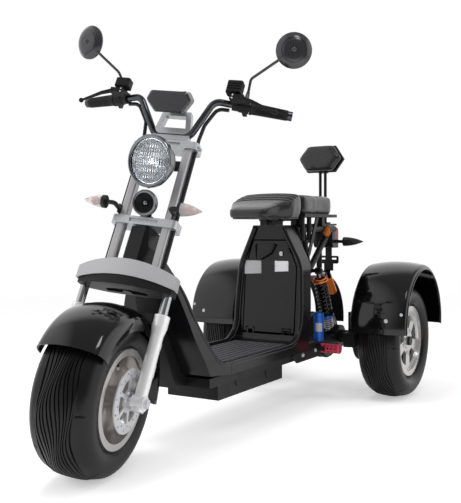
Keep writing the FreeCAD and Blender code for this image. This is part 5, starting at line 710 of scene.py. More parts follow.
def tyre_profile(sizes, width, rim_width):
    """Outline of a tyre from bead to bead as (across, radius), and half widths of shoulders and tread."""
    height = sizes.tyre_radius - sizes.bead_radius
    seat = 0.5 * rim_width - 0.008
    flank = (0.5 * width, sizes.bead_radius + 0.52 * height)
    shoulder = (0.5 * width - 0.12 * width, sizes.tyre_radius - 0.13 * height)
    side = [(seat, sizes.bead_radius), (seat, sizes.bead_radius + 0.004)]
    side += arc_points((seat, sizes.bead_radius + 0.016), flank, shoulder, 14)
    crown = arc_points(shoulder, (0.0, sizes.tyre_radius), (-shoulder[0], shoulder[1]), 120)
    tread = 0.72 * shoulder[0]
    centres = [share * tread for share in groove_shares]
    half_groove = 0.5 * sizes.groove_width
    marks = []
    for x, r in crown[2:-2]:
        gap = min(abs(centre - x) for centre in centres) - half_groove
        if gap > 0.0015 and abs(round(x / crown_pitch) * crown_pitch - x) < 0.0008:
            marks.append((x, r))
    for centre in centres:
        r = min(crown, key=lambda point: abs(point[0] - centre))[1]
        for share, sink in ((1.0, 0.0), (0.7, 1.0), (-0.7, 1.0), (-1.0, 0.0)):
            marks.append((centre + share * half_groove, r - sink * sizes.groove_depth))
    marks.sort(key=lambda mark: -mark[0])
    return side + marks + [(-x, r) for x, r in reversed(side)], shoulder[0], tread


def dressed_tyre(node, body, spin_name, width, rim_width, sizes):
    """Tyre with wavy grooves round its tread and short cuts across its shoulders."""
    outline, shoulder, tread = tyre_profile(sizes, width, rim_width)
    around = waves_per_turn * steps_per_wave
    bm = spun([(x, 0.0, r) for x, r in outline], around)
    wavy = 1.12 * tread
    for vert in bm.verts:
        x, y, z = vert.co
        radius = math.hypot(y, z)
        turn = math.atan2(z, y)
        if abs(x) < wavy and radius > sizes.tyre_radius - 0.03:
            wander = math.sin(waves_per_turn * turn + wave_lag * x)
            vert.co.x += sizes.groove_wave * wander * min(1.0, (wavy - abs(x)) / (0.2 * tread))
        elif 0.98 * tread < abs(x) < shoulder + 0.012 and radius > sizes.tyre_radius - 0.045:
            step = round(turn / (2 * math.pi) * around)
            if step % steps_per_wave == (0 if x > 0 else steps_per_wave // 2):
                sink = 1 - 0.0028 / radius
                vert.co.y *= sink
                vert.co.z *= sink
    finished_piece("dressed_" + node, bm, body, "tyre_rubber", 30.0, wheel_frame(spin_name), [node])


# Springs: their ends are across, behind and above the front tyre's foot

spring_head_mm = (118, 1222, 516)
spring_foot_mm = (122, 1318, 268)
spring_shares = (0.16, 0.72)
seat_gap = 0.010
coil_radius = 0.0232
coil_turns = 7.5


def helix(bm, start, end, radius, wire, turns):
    """A round wire wound about Z over the length from start to end; returns its place."""
    axis = end - start
    total = int(turns * 28)
    upright = turned(Matrix.Translation((radius, 0, 0)), 90, "X")
    circle = bmesh.ops.create_circle(bm, segments=10, radius=wire, cap_ends=False, matrix=upright)
    edges = list({edge for vert in circle["verts"] for edge in vert.link_edges})
    bmesh.ops.spin(bm, geom=circle["verts"] + edges, cent=(0, 0, 0), axis=(0, 0, 1),
                   dvec=(0, 0, axis.length / total), angle=2 * math.pi * turns, steps=total, use_merge=False,
                   use_duplicate=False)
    bmesh.ops.holes_fill(bm, edges=[edge for edge in bm.edges if edge.is_boundary], sides=0)
    return Matrix.Translation(start) @ Vector((0, 0, 1)).rotation_difference(axis).to_matrix().to_4x4()


def coil_springs(sizes):
    """Springs between their seats, with a coloured ring on the upper seat and a threaded collar below."""
    for side, label in ((1, "left"), (-1, "right")):
        head = spot(*mirrored(spring_head_mm, side))
        axis = spot(*mirrored(spring_foot_mm, side)) - head
        upper, lower = [placed(head + axis * share, axis) for share in spring_shares]
        start = upper.translation + axis.normalized() * seat_gap
        end = lower.translation - axis.normalized() * seat_gap
        bm = bmesh.new()
        matrix = helix(bm, start, end, coil_radius, sizes.spring_wire, coil_turns)
        finished_piece("coil_spring_" + label, bm, "body", "spring_enamel", 60.0, matrix,
                       ["shock_springs"])
        bm = bmesh.new()
        ring(bm, upper, 0.0285, 0.0035)
        ring(bm, upper @ Matrix.Translation((0, 0, -0.009)), 0.0245, 0.003)
        collar = [(0.0205, 0.001), (0.0305, 0.001), (0.0305, 0.010), (0.027, 0.014), (0.0205, 0.014),
                  (0.0205, 0.001)]
        lathe(bm, collar, lower, 40, 1)
        for index in range(5):
            ring(bm, lower @ Matrix.Translation((0, 0, 0.022 + 0.009 * index)), 0.0195, 0.0022, 40, 1.0, 2)
        finished_piece("spring_rings_" + label, bm, "body",
                       ["orange_anodised", "blue_anodised", "zinc_plated_steel"])


# Wheels: places in metres of the wheel's frame, across and outwards from its centre

disc_screw = (0.1032, 0.024)
wheel_bolt = (0.0552, 0.047)
valve_foot = 0.1075


def wheel_trim():
    """Disc screws, wheel bolts and tyre valves, which turn with the wheels."""
    finish = ["zinc_plated_steel", "grip_rubber"]
    wheel = wheel_frame("front_wheel_spin")
    bm = bmesh.new()
    for index in range(6):
        place = turned(wheel, 60 * index + 18, "X") @ Vector((disc_screw[0], 0, disc_screw[1]))
        socket_screw(bm, place, wheel.to_3x3() @ Vector((1, 0, 0)), 0.0046)
    valve(bm, wheel, 0.060, 0.0)
    finished_piece("front_wheel_trim", bm, "front_wheel", finish, 30.0)
    for side, label in ((1, "left"), (-1, "right")):
        wheel = wheel_frame("rear_" + label + "_wheel_spin")
        bm = bmesh.new()
        for index in range(5):
            place = turned(wheel, 72 * index + 36, "X") @ Vector((side * wheel_bolt[0], 0, wheel_bolt[1]))
            hex_bolt(bm, place, (side, 0, 0), 0.0062)
        valve(bm, wheel, side * 0.050, 40.0)
        finished_piece("rear_wheel_trim_" + label, bm, "rear_wheel_" + label, finish, 30.0)


def valve(whole, wheel, across, turn_deg):
    """Rubber tyre valve with its metal cap, which stands in from the rim's well."""
    matrix = turned(turned(wheel, turn_deg, "X") @ Matrix.Translation((across, 0, valve_foot)), 180, "X")
    stem = [(0, 0), (0.0062, 0), (0.0055, 0.004), (0.0036, 0.008), (0.0034, 0.020), (0, 0.020)]
    cap = [(0, 0.020), (0.0042, 0.020), (0.0042, 0.027), (0.0032, 0.029), (0, 0.029)]
    lathe(whole, stem, matrix, 16, 1)
    lathe(whole, cap, matrix, 16)


# Lamps and horn: places in the fork's frame, across, behind and along

lamp_place_mm = (0, -105, 944)
lamp_turn_deg = -12
horn_place_mm = (0, -62, 825)
indicator_place_mm = (129, -70, 812)


def lamp_frame():
    return facing_forward(*lamp_place_mm, lamp_turn_deg)


def headlight_inside():
    """Faceted reflector, and the bulb with its shield."""
    bm = bmesh.new()
    bowl = [(0.066 - 0.054 * i / 8, -0.004 - 0.056 * (1 - (1 - i / 8) ** 2)) for i in range(9)]
    lathe(bm, bowl, lamp_frame(), 26)
    finished_piece("lamp_reflector", bm, "steering", "bright_reflector", 1.0)
    bm = bmesh.new()
    socket = [(0, -0.060), (0.011, -0.060), (0.011, -0.048), (0.008, -0.044), (0, -0.044)]
    bulb = [(0, -0.044), (0.0062, -0.044), (0.0070, -0.034), (0.0062, -0.024), (0.003, -0.020), (0, -0.0195)]
    shield = [(0, -0.0155), (0.008, -0.0165), (0.0105, -0.021), (0.0098, -0.021), (0.0075, -0.0175),
              (0, -0.0165)]
    for outline, finish in ((socket, 0), (bulb, 1), (shield, 0)):
        lathe(bm, outline, lamp_frame(), 24, finish)
    finished_piece("lamp_bulb", bm, "steering", ["chrome_plate", "clear_glass"])


def fluted_glass(sizes):
    """Headlight glass: a low dome with upright flutes, crossed by broader ones, inside a plain rim."""
    radius = 0.0686
    bulge = 0.0115
    wall = 0.0028
    plain_rim = 0.006
    dome = [(radius * i / 44, 0.0, bulge * (1 - (i / 44) ** 2) + 0.0003) for i in range(45)]
    bm = spun(dome + [(x, y, z - wall) for x, y, z in reversed(dome)], 180, (0, 0, -1))
    for vert in bm.verts:
        off_axis = math.hypot(vert.co.x, vert.co.y)
        fade = min(1.0, max(0.0, (radius - plain_rim - off_axis) / 0.004))
        if vert.co.z < bulge * (1 - (off_axis / radius) ** 2) - 0.5 * wall:
            vert.co.z -= fade * 0.0009 * math.cos(2 * math.pi * vert.co.x / sizes.lens_flute)
            vert.co.z -= fade * 0.0006 * math.cos(2 * math.pi * vert.co.y / (2.6 * sizes.lens_flute))
    finished_piece("fluted_glass", bm, "steering", "clear_glass", 50.0, lamp_frame(),
                   ["headlight_lens"])


def lamp_bezel():
    """Rolled chrome ring over the front edge of the headlight's bowl, with its clamp screw below."""
    lamp = lamp_frame()
    bm = bmesh.new()
    rolled = [(0.0692, -0.001), (0.0700, 0.0030), (0.0735, 0.0052), (0.0775, 0.0045), (0.0800, 0.0015),
              (0.0806, -0.004), (0.0800, -0.012), (0.0786, -0.013), (0.0786, 0.0002), (0.0692, -0.001)]
    lathe(bm, rolled, lamp, 96)
    socket_screw(bm, lamp @ Vector((0, -0.0795, -0.006)), lamp.to_3x3() @ Vector((0, -1, 0)), 0.0042)
    finished_piece("lamp_bezel", bm, "steering", "dark_chrome")


def horn_trumpet():
    """Pressed horn: chrome rim, black ribbed cone, bright centre cap and a ribbed back."""
    mouth = facing_forward(*horn_place_mm)
    rim = [(0.0308, -0.006), (0.0312, -0.001), (0.0335, 0), (0.0375, 0), (0.0398, -0.003), (0.0400, -0.008),
           (0.0394, -0.0145), (0.0370, -0.0165)]
    cone = [rim[0]]
    for index in range(6):
        r = 0.0290 - 0.0036 * index
        h = -0.0075 - 0.0008 * index
        cone += [(r, h), (r - 0.0016, h - 0.0012), (r - 0.0024, h - 0.0002)]
    cone.append((0.0085, -0.0120))
    cap = [cone[-1], (0.0080, -0.0092), (0.0058, -0.0068), (0.0030, -0.0058), (0, -0.0055)]
    rear = [rim[-1], (0.0340, -0.0175), (0.0335, -0.0195), (0.0300, -0.0200), (0.0290, -0.0236),
            (0, -0.0236)]
    bm = bmesh.new()
    for outline, steps, finish in ((rim, 64, 0), (cone, 64, 1), (cap, 32, 0), (rear, 64, 1)):
        lathe(bm, outline, mouth, steps, finish)
    finished_piece("horn_trumpet", bm, "steering", ["dark_chrome", "matt_black_plastic"],
                   replaced=["horn"])


def indicator_insides():
    """Red bulbs with their holders inside the clear front lenses."""
    holder = [(0, 0), (0.0085, 0), (0.0085, 0.006), (0.006, 0.009), (0, 0.009)]
    bulb = [(0, 0.009), (0.0055, 0.009), (0.0088, 0.018), (0.0078, 0.028), (0.0042, 0.033), (0, 0.034)]
    bm = bmesh.new()
    for side in (1, -1):
        along = fork_frame().to_3x3() @ Vector((side, 0, 0))
        matrix = placed(fork_spot(*mirrored(indicator_place_mm, side)), along)
        lathe(bm, holder, matrix, 20)
        lathe(bm, bulb, matrix, 20, 1)
    finished_piece("indicator_insides", bm, "steering", ["matt_black_plastic", "dyed_bulb_glass"])


# Handlebar

grip_length = 0.122
grip_steps = 144
display_place_mm = (0, -84, 1168)
rider_eye_mm = (0, 1000, 1500)
mirror_place_mm = (352, -78, 1383)


def bar_line():
    """The grip's centre line: its outer end and its direction towards the middle, in the fork's frame."""
    outer = Vector((0.346, 0.034, 1.218))
    inner = Vector((0.126, -0.042, 1.206))
    return outer, (inner - outer).normalized()


def add_for_hand(whole, part, side):
    """Adds a part that was built for the left hand, or its mirror image for the right, to the fork."""
    if side < 0:
        bmesh.ops.transform(part, matrix=Matrix.Diagonal((-1, 1, 1, 1)), verts=part.verts)
        bmesh.ops.reverse_faces(part, faces=part.faces)
    add_part(whole, part, fork_frame())


def ridged_grips(sizes):
    """Rubber grips that widen towards the flange, with lengthwise ridges between two plain cuffs."""
    start = 0.0002
    outline = [(0.0113, start), (0.0160, start), (0.0165, start + 0.003)]
    for index in range(13):
        share = index / 12
        outline.append((0.0165 + 0.0022 * share, start + 0.006 + share * (grip_length - 0.020)))
    flange = ((0.0190, 0.0095), (0.0208, 0.0075), (0.0210, 0.004), (0.0200, 0.0005), (0.0113, 0.0005))
    outline += [(r, grip_length - h) for r, h in flange]
    bm = bmesh.new()
    for side in (1, -1):
        grip = spun([(r, 0.0, h) for r, h in outline], grip_steps, (0, 0, 1))
        for vert in grip.verts:
            radius = math.hypot(vert.co.x, vert.co.y)
            if 0.0155 < radius < 0.0192 and 0.008 < vert.co.z < 0.106:
                step = round(math.atan2(vert.co.y, vert.co.x) / (2 * math.pi) * grip_steps)
                sink = 1 - (0.0, 0.3, 1.0, 0.3)[step % 4] * sizes.grip_ridge / radius
                vert.co.x *= sink
                vert.co.y *= sink
        part = bmesh.new()
        add_part(part, grip, placed(*bar_line()))
        add_for_hand(bm, part, side)
    finished_piece("ridged_grips", bm, "steering", "grip_rubber", 30.0, replaced=["grips"])


def control_trim():
    """Screws of the reservoirs' lids and of the lever clamps."""
    outer, along = bar_line()
    clamp = outer + along * 0.1655
    clamp_half_height = 0.0175 * 0.6
    clamp_face = 0.0515
    clamp_screws = 0.0054
    lid = 0.004
    lid_middle = 0.041
    lid_screws = 0.018
    bm = bmesh.new()
    for side, tank_height in ((1, 0.040), (-1, 0.028)):
        part = bmesh.new()
        top = clamp.z + clamp_half_height + lid + tank_height
        for way in (-1, 1):
            on_lid = Vector((clamp.x + way * lid_screws, clamp.y - lid_middle, top))
            on_clamp = Vector((clamp.x, clamp.y - clamp_face, clamp.z + way * clamp_screws))
            socket_screw(part, on_lid, (0, 0, 1), 0.0034)
            socket_screw(part, on_clamp, (0, -1, 0), 0.003)
        add_for_hand(bm, part, side)
    finished_piece("control_screws", bm, "steering", "zinc_plated_steel", 30.0)


def display_window():
    """The display's screen, on the side that faces the rider."""
    rider = spot(*rider_eye_mm)
    sight = (fork_spot(*display_place_mm) - rider).normalized()
    hit, place, normal, _ = nodes["display"].ray_cast(rider, sight)
    if not hit:
        raise ValueError("no display before the rider")
    bm = bmesh.new()
    slab(bm, placed(place + normal * proud, normal), 0.086, 0.040, 0.0018, 0.0006)
    finished_piece("display_window", bm, "steering", "display_glass")


def mirror_rings():
    """The raised circle pressed into the back of each mirror's shell."""
    bm = bmesh.new()
    raised = [(0.0400, 0.0105), (0.0394, 0.0132), (0.0380, 0.0142), (0.0360, 0.0142), (0.0350, 0.0134),
              (0.0346, 0.0108), (0.0400, 0.0105)]
    for side, turn_deg in ((1, 16), (-1, -18)):
        lathe(bm, raised, facing_forward(*mirrored(mirror_place_mm, side), turn_deg), 72)
    finished_piece("mirror_rings", bm, "steering", "gloss_black_plastic")


# Plates, bolts and pegs: pixels of the photograph are given as column and row

grey_plate_edges = (245, 259.5, 261.5, 273.5)
white_plate_edges = (275, 260.5, 288.5, 271.5)
guard_bolts = (((385.8, 321.3), 1.0), ((401.1, 315.1), 0.8))
gusset_bolts = ((302.7, 355.2), (315.3, 350.2))
tray_straps = ((266.0, 373.0), (236.0, 381.0))
lock_pixel = (281.5, 253.5)
peg_pivot_mm = (0, 1176, 214)
reflector_place_mm = (80.5, 1387, 672)


def plate_between(name, edges, finish):
    """A thin blank plate on the door, between the columns and rows of its edges in the photograph."""
    left, top, right, bottom = edges
    column = 0.5 * (left + right)
    row = 0.5 * (top + bottom)
    middle, normal = seen_at("battery_door", column, row)
    tall = seen_on_plane(middle, normal, column, top) - seen_on_plane(middle, normal, column, bottom)
    first = seen_on_plane(middle, normal, left, row)
    last = seen_on_plane(middle, normal, right, row)
    width = (last - first).length
    across = tall.cross(normal).normalized()
    matrix = frame_of((across, normal.cross(across), normal), 0.5 * (first + last) + normal * proud)
    bm = bmesh.new()
    slab(bm, matrix, width, tall.length, 0.0022, 0.0009)
    for x in (-0.5, 0.5):
        socket_screw(bm, matrix @ Vector((x * (width - 0.010), 0, 0.0022)), normal, 0.0028, 1)
    finished_piece(name, bm, "door", [finish, "zinc_plated_steel"])


def body_bolts(sizes):
    """Bolts of the rear mudguards and of the gussets, the same on both sides."""
    bm = bmesh.new()
    for side in (1, -1):
        for pixel, share in guard_bolts:
            place, normal = seen_at("rear_guard_left", *pixel)
            socket_screw(bm, mirrored(place, side), mirrored(normal, side), share * sizes.bolt_radius)
        for pixel in gusset_bolts:
            place, normal = seen_at("frame_brackets", *pixel)
            hex_bolt(bm, mirrored(place, side), (side, 0, 0), 0.0060)
    finished_piece("body_bolts", bm, "body", "zinc_plated_steel", 30.0)


def tray_latches():
    """Bent strap of each latch on the tray's left side."""
    bm = bmesh.new()
    for pixel in tray_straps:
        place, normal = seen_at("battery_tray", *pixel)
        matrix = placed(place + normal * proud, normal, 24)
        slab(bm, matrix, 0.008, 0.034, 0.0026, 0.0008)
        socket_screw(bm, matrix @ Vector((0, 0.010, 0.0026)), normal, 0.0042)
    finished_piece("tray_latches", bm, "body", "powder_coated_steel")


def drilled_peg(label, side):
    """Folding peg: a red tube drilled all round, with a plain cuff at each end."""
    columns = 4
    around = 8
    pitch = 0.0155
    low = 0.162
    high = low + columns * pitch
    part = bmesh.new()
    for column in range(columns):
        for index in range(around):
            add_peg_cell(part, low + pitch * (column + 0.5), pitch, index, around)
    bmesh.ops.remove_doubles(part, verts=part.verts, dist=0.00002)
    slab(part, placed((low - 0.012, 0, 0), (1, 0, 0)), 0.014, 0.036, 0.012, 0.002)
    inner_cuff = [(0.0150, 0), (0.0182, 0), (0.0188, 0.002), (0.0182, 0.004), (0.0150, 0.004), (0.0150, 0)]
    outer_cuff = [(0.0150, 0), (0.0182, 0), (0.0188, 0.002), (0.0188, 0.006), (0.0175, 0.008), (0, 0.008),
                  (0, 0.005), (0.0150, 0.005), (0.0150, 0)]
    lathe(part, inner_cuff, placed((low - 0.004, 0, 0), (1, 0, 0)), 64)
    lathe(part, outer_cuff, placed((high, 0, 0), (1, 0, 0)), 64)
    matrix = Matrix.Translation(spot(*peg_pivot_mm)) @ Matrix.Diagonal((side, 1, 1, 1))
    finished_piece("drilled_peg_" + label, part, "peg_" + label, "red_anodised", 30.0,
                   matrix, ["foot_peg_" + label])


def add_peg_cell(whole, centre, pitch, index, around):
    """One cell of the drilled tube: a square of its wall with a round hole."""
    steps = 16
    radius = 0.0182
    wall = 0.0030
    hole = 0.0052
    spread = math.pi / around
    cell = bmesh.new()
    rims = []
    for r in (radius, radius - wall):
        loops = []
        for is_hole in (False, True):
            verts = []
            for step in range(steps):
                angle = 2 * math.pi * (step + 0.5) / steps
                dx, dy = math.cos(angle), math.sin(angle)
                if is_hole:
                    x, turn = hole * dx, hole * dy / radius
                else:
                    grow = 1 / max(abs(dx), abs(dy))
                    x, turn = 0.5 * pitch * dx * grow, spread * dy * grow
                turn += 2 * spread * index
                verts.append(cell.verts.new((centre + x, r * math.sin(turn), r * math.cos(turn))))
            loops.append([cell.edges.new((verts[i], verts[(i + 1) % steps])) for i in range(steps)])
        bmesh.ops.bridge_loops(cell, edges=loops[0] + loops[1])
        rims += loops[1]
    bmesh.ops.bridge_loops(cell, edges=rims)
    add_part(whole, cell, Matrix())


def oval_reflectors():
    """Domed amber reflectors in black rims, turned half forward on their holders under the seat."""
    rim = [(0.0252, -0.006), (0.0262, -0.001), (0.0262, 0.003), (0.0248, 0.004), (0.0240, 0.002),
           (0.0240, -0.006), (0.0252, -0.006)]
    dome = [(0.0240, 0.001), (0.0230, 0.0040), (0.0190, 0.0072), (0.0120, 0.0098), (0.0050, 0.0108),
            (0, 0.0110)]
    rear = [(0, -0.006), (0.0250, -0.006)]
    bm = bmesh.new()
    for side in (1, -1):
        centre = spot(*mirrored(reflector_place_mm, side))
        out = Vector((side * 0.62, -0.78, 0)).normalized()
        matrix = placed(centre + out * 0.002, out) @ Matrix.Diagonal((0.62, 1.0, 1.0, 1.0))
        for outline, finish in ((rim, 1), (dome, 0), (rear, 1)):
            lathe(bm, outline, matrix, 48, finish)
    finished_piece("oval_reflectors", bm, "body", ["amber_acrylic", "matt_black_plastic"],
                   replaced=["side_reflectors"])


def door_lock():
    """Round chrome lock high on the door, with a thin black plate on its face as the key slot: painted shade
    in place of the slot's hollow.
    """
    place, normal = seen_at("battery_door", *lock_pixel)
    matrix = placed(place - normal * 0.001, normal)
    barrel = [(0.0095, 0), (0.0095, 0.004), (0.0085, 0.0055), (0.0066, 0.0058), (0.0060, 0.0046),
              (0, 0.0046)]
    bm = bmesh.new()
    lathe(bm, barrel, matrix, 40)
    # The key slot is a thin black plate, painted shade where the slot's hollow would be.
    slab(bm, matrix @ Matrix.Translation((0, 0, 0.0044)), 0.0016, 0.0078, 0.0005, 0.0002, 1)
    finished_piece("door_lock", bm, "door", ["chrome_plate", "matt_black_plastic"], 30.0)


def canister_labels():
    """Bands and a blank label on each blue canister."""
    low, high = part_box("blue_canisters")
    film = [(0.0214, 0, 0.040), (0.0218, 0, 0.041), (0.0218, 0, 0.073), (0.0214, 0, 0.074)]
    bm = bmesh.new()
    for side, turn_deg in ((1, -100), (-1, -155)):
        foot = Matrix.Translation((side * 0.122, 0.5 * (low.y + high.y), low.z))
        for height in (0.012, 0.022, 0.092, 0.102):
            ring(bm, foot @ Matrix.Translation((0, 0, height)), 0.0211, 0.0011, 48, 1.6)
        add_part(bm, spun(film, 16, (0, 0, 1), 75.0), turned(foot, turn_deg, "Z"), 1)
    finished_piece("canister_labels", bm, "body", ["blue_anodised", "blank_label"], 30.0)


# Seats

cover_voxel = 0.005
cover_pressure = 4.0
cover_shrink = 0.975
cloth_frames = 20
smooth_passes = 16


def merged_copy(name, node):
    """A copy of a node's mesh with its loose triangles merged, as an object of its own."""
    mesh = nodes[node].data.copy()
    bm = bmesh.new()
    bm.from_mesh(mesh)
    bmesh.ops.remove_doubles(bm, verts=bm.verts, dist=0.00002)
    bm.to_mesh(mesh)
    bm.free()
    mesh.name = name
    mesh.materials.clear()
    return shown(name, mesh)


def apply_modifiers(shape):
    bpy.context.view_layer.update()
    graph = bpy.context.evaluated_depsgraph_get()
    mesh = bpy.data.meshes.new_from_object(shape.evaluated_get(graph))
    shape.modifiers.clear()
    shape.data = mesh


def remeshed(shape, voxel):
    """Gives a closed shape an even net of faces of that size."""
    remesh = shape.modifiers.new("voxels", "REMESH")
    remesh.mode = "VOXEL"
    remesh.voxel_size = voxel
    apply_modifiers(shape)


def swollen(shape, cap):
    """Lets a closed shape swell as a sewn cover does over foam, by no more than the cap."""
    centre = sum((Vector(c) for c in shape.bound_box), Vector()) / 8
    for vert in shape.data.vertices:
        vert.co = centre + (vert.co - centre) * cover_shrink
    remeshed(shape, cover_voxel)
    before = [vert.co.copy() for vert in shape.data.vertices]
    cloth = shape.modifiers.new("cover", "CLOTH")
    cloth.settings.use_pressure = True
    cloth.settings.uniform_pressure_force = cover_pressure
    cloth.settings.effector_weights.gravity = 0
    for number in range(1, cloth_frames + 1):
        bpy.context.scene.frame_set(number)
    apply_modifiers(shape)
    for vert, old in zip(shape.data.vertices, before):
        move = vert.co - old
        if move.length > cap:
            vert.co = old + move.normalized() * cap
    bpy.context.scene.frame_set(1)


def padded_piece(name, node, sizes, reshape=None):
    shape = merged_copy(name, node)
    swollen(shape, sizes.seat_swell)
    bm = bmesh.new()
    bm.from_mesh(shape.data)
    for _ in range(smooth_passes):
        bmesh.ops.smooth_vert(bm, verts=bm.verts, factor=0.5, use_axis_x=True, use_axis_y=True,
                              use_axis_z=True)
    if reshape:
        reshape(bm)
    bm.to_mesh(shape.data)
    bm.free()
    smooth = shape.modifiers.new("smooth", "SUBSURF")
    smooth.levels = 1
    smooth.render_levels = 1
    apply_modifiers(shape)
    shape.data.shade_smooth()
    shape.data.materials.clear()
    shape.data.materials.append(finishes["seat_vinyl"])
    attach(shape, "body")
    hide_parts(node)


def eased(value, start, end):
    """0 before a start, 1 after an end, and a soft rise between them."""
    share = min(1.0, max(0.0, (value - start) / (end - start)))
    return share * share * (3 - 2 * share)


def crowned(vert, low, high, crown, tuck):
    """Lowers a cushion's top towards its sides and draws its lower edge in."""
    middle = 0.5 * (low.x + high.x)
    across = min(1.0, abs(vert.co.x - middle) / (0.5 * (high.x - low.x)))
    rise = (vert.co.z - low.z) / (high.z - low.z)
    vert.co.z -= crown * across ** 2 * eased(rise, 0.3, 0.9)
    vert.co.x = middle + (vert.co.x - middle) * (1 - tuck * (1 - eased(rise, 0.0, 0.5)))


def saddle_ribs(bm):
    """Low, narrow nose, a bulge out to the wide seat, and sewn channels across the rear half of the top."""
    low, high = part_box("rider_saddle")
    rib_pitch = 0.022
    rib_depth = 0.008
    nose_drop = 0.042
    first = low.y + 0.46 * (high.y - low.y)
    for vert in bm.verts:
        along = (vert.co.y - low.y) / (high.y - low.y)
        rise = (vert.co.z - low.z) / (high.z - low.z)
        up = vert.normal.z
        bulge = 0.02 * math.exp(-((along - 0.5) / 0.09) ** 2)
        vert.co.x *= 0.90 + 0.10 * eased(along, 0.26, 0.50) + bulge
        vert.co.x *= 1 - 0.13 * eased(along, 0.82, 1.0)
        vert.co.z -= nose_drop * max(0.0, 1 - along / 0.8) * min(1.0, max(0.0, rise))
        vert.co.z += 0.009 * (eased(along, 0.3, 0.8) * eased(rise, 0.3, 1.0) - 1 + eased(rise, 0.0, 0.6))
        vert.co.y += (1 - eased(along, 0.0, 0.14)) * (0.014 * eased(rise, 0.3, 1.0) - 0.006)
        crowned(vert, low, high, 0.007, 0.02)
        if up > 0.5 and first < vert.co.y < high.y - 0.02:
            phase = (vert.co.y - first) / rib_pitch
            vert.co.z -= rib_depth * abs(math.cos(math.pi * phase)) ** 4 * min(1.0, (up - 0.5) / 0.3)


def pad_cover(bm):
    """The passenger's pad: crowned, with a tucked lower edge."""
    low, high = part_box("passenger_pad")
    for vert in bm.verts:
        rise = (vert.co.z - low.z) / (high.z - low.z)
        vert.co.z += 0.011 * eased(rise, 0.2, 0.9)
        crowned(vert, low, high, 0.004, 0.015)


# Stage

photo_width = 461.0
photo_height = 503.0
focal_pixels = 788.43
camera_place = Vector((1.45774, -2.40114, 0.69285))
camera_azimuth_deg = 31.21
camera_elevation_deg = 1.76
camera_roll_deg = -0.28
floor_size = 14.0
floor_fade_start = 3.2
floor_fade_end = 6.0
floor_lift = 0.40
backdrop_strength = 1.0
room_strength = 0.55
dim_strength = 0.13
ceiling_strength = 0.28
lit_side_strength = 0.85
right_side_strength = 1.0


def photo_axes():
    """The photograph's directions: to its right, up, and back towards the viewer."""
    turn = math.radians(camera_azimuth_deg)
    tip = math.radians(camera_elevation_deg)
    roll = math.radians(camera_roll_deg)
    right = Vector((math.cos(turn), math.sin(turn), 0))
    back = Vector((math.sin(turn) * math.cos(tip), -math.cos(turn) * math.cos(tip), math.sin(tip)))
    up = back.cross(right)
    return math.cos(roll) * right + math.sin(roll) * up, -math.sin(roll) * right + math.cos(roll) * up, back


def photo_camera():
    """The camera at the photograph's viewpoint."""
    data = bpy.data.cameras.new("camera")
    data.sensor_fit = "HORIZONTAL"
    data.sensor_width = 36.0
    data.lens = focal_pixels * data.sensor_width / photo_width
    data.clip_end = 100.0
    camera = shown("camera", data)
    camera.matrix_world = frame_of(photo_axes(), camera_place)
    bpy.context.scene.camera = camera


def softbox(name, offset, size, power, mirrored_in_gloss=False, aim_offset=(0, 0, 0)):
    """A rectangular studio lamp, placed and aimed from the trike's middle; gloss shows it only if asked."""
    middle = (frame_box[0] + frame_box[1]) / 2
    data = bpy.data.lights.new(name, "AREA")
    data.shape = "RECTANGLE"
    data.size, data.size_y = size
    data.energy = power
    lamp = shown(name, data)
    lamp.location = middle + Vector(offset)
    lamp.visible_glossy = mirrored_in_gloss
    lamp.rotation_mode = "QUATERNION"
    lamp.rotation_quaternion = (Vector(offset) - Vector(aim_offset)).to_track_quat("Z", "Y")


def pale_floor():
    """Pale studio floor: takes the shadow near the trike and fades into the white beyond."""
    material, shader, place = start_finish("pale_floor", "FAFAFA", Roughness=0.9, Specular_IOR_Level=0.0,
                                           Emission_Color=(1, 1, 1, 1))
    span = add(material, "VectorMath", {0: place}, "Value", operation="LENGTH")
    fade = add(material, "MapRange", {"Value": span, "From Min": floor_fade_start,
                                      "From Max": floor_fade_end})
    seen = add(material, "LightPath", {}, "Is Camera Ray")
    join(material, add(material, "MapRange", {"Value": seen, "To Max": floor_lift}), shader,
         "Emission Strength")
    clear = add(material, "BsdfTransparent", {})
    mixed = add(material, "MixShader", {0: fade, 1: shader.outputs["BSDF"], 2: clear})
    join(material, mixed, material.node_tree.nodes["Material Output"], "Surface")
    bm = bmesh.new()
    bmesh.ops.create_grid(bm, x_segments=1, y_segments=1, size=0.5 * floor_size)
    mesh = bpy.data.meshes.new("pale_floor")
    bm.to_mesh(mesh)
    bm.free()
    mesh.materials.append(material)
    floor = shown("pale_floor", mesh)
    floor.location.z = frame_box[0].z


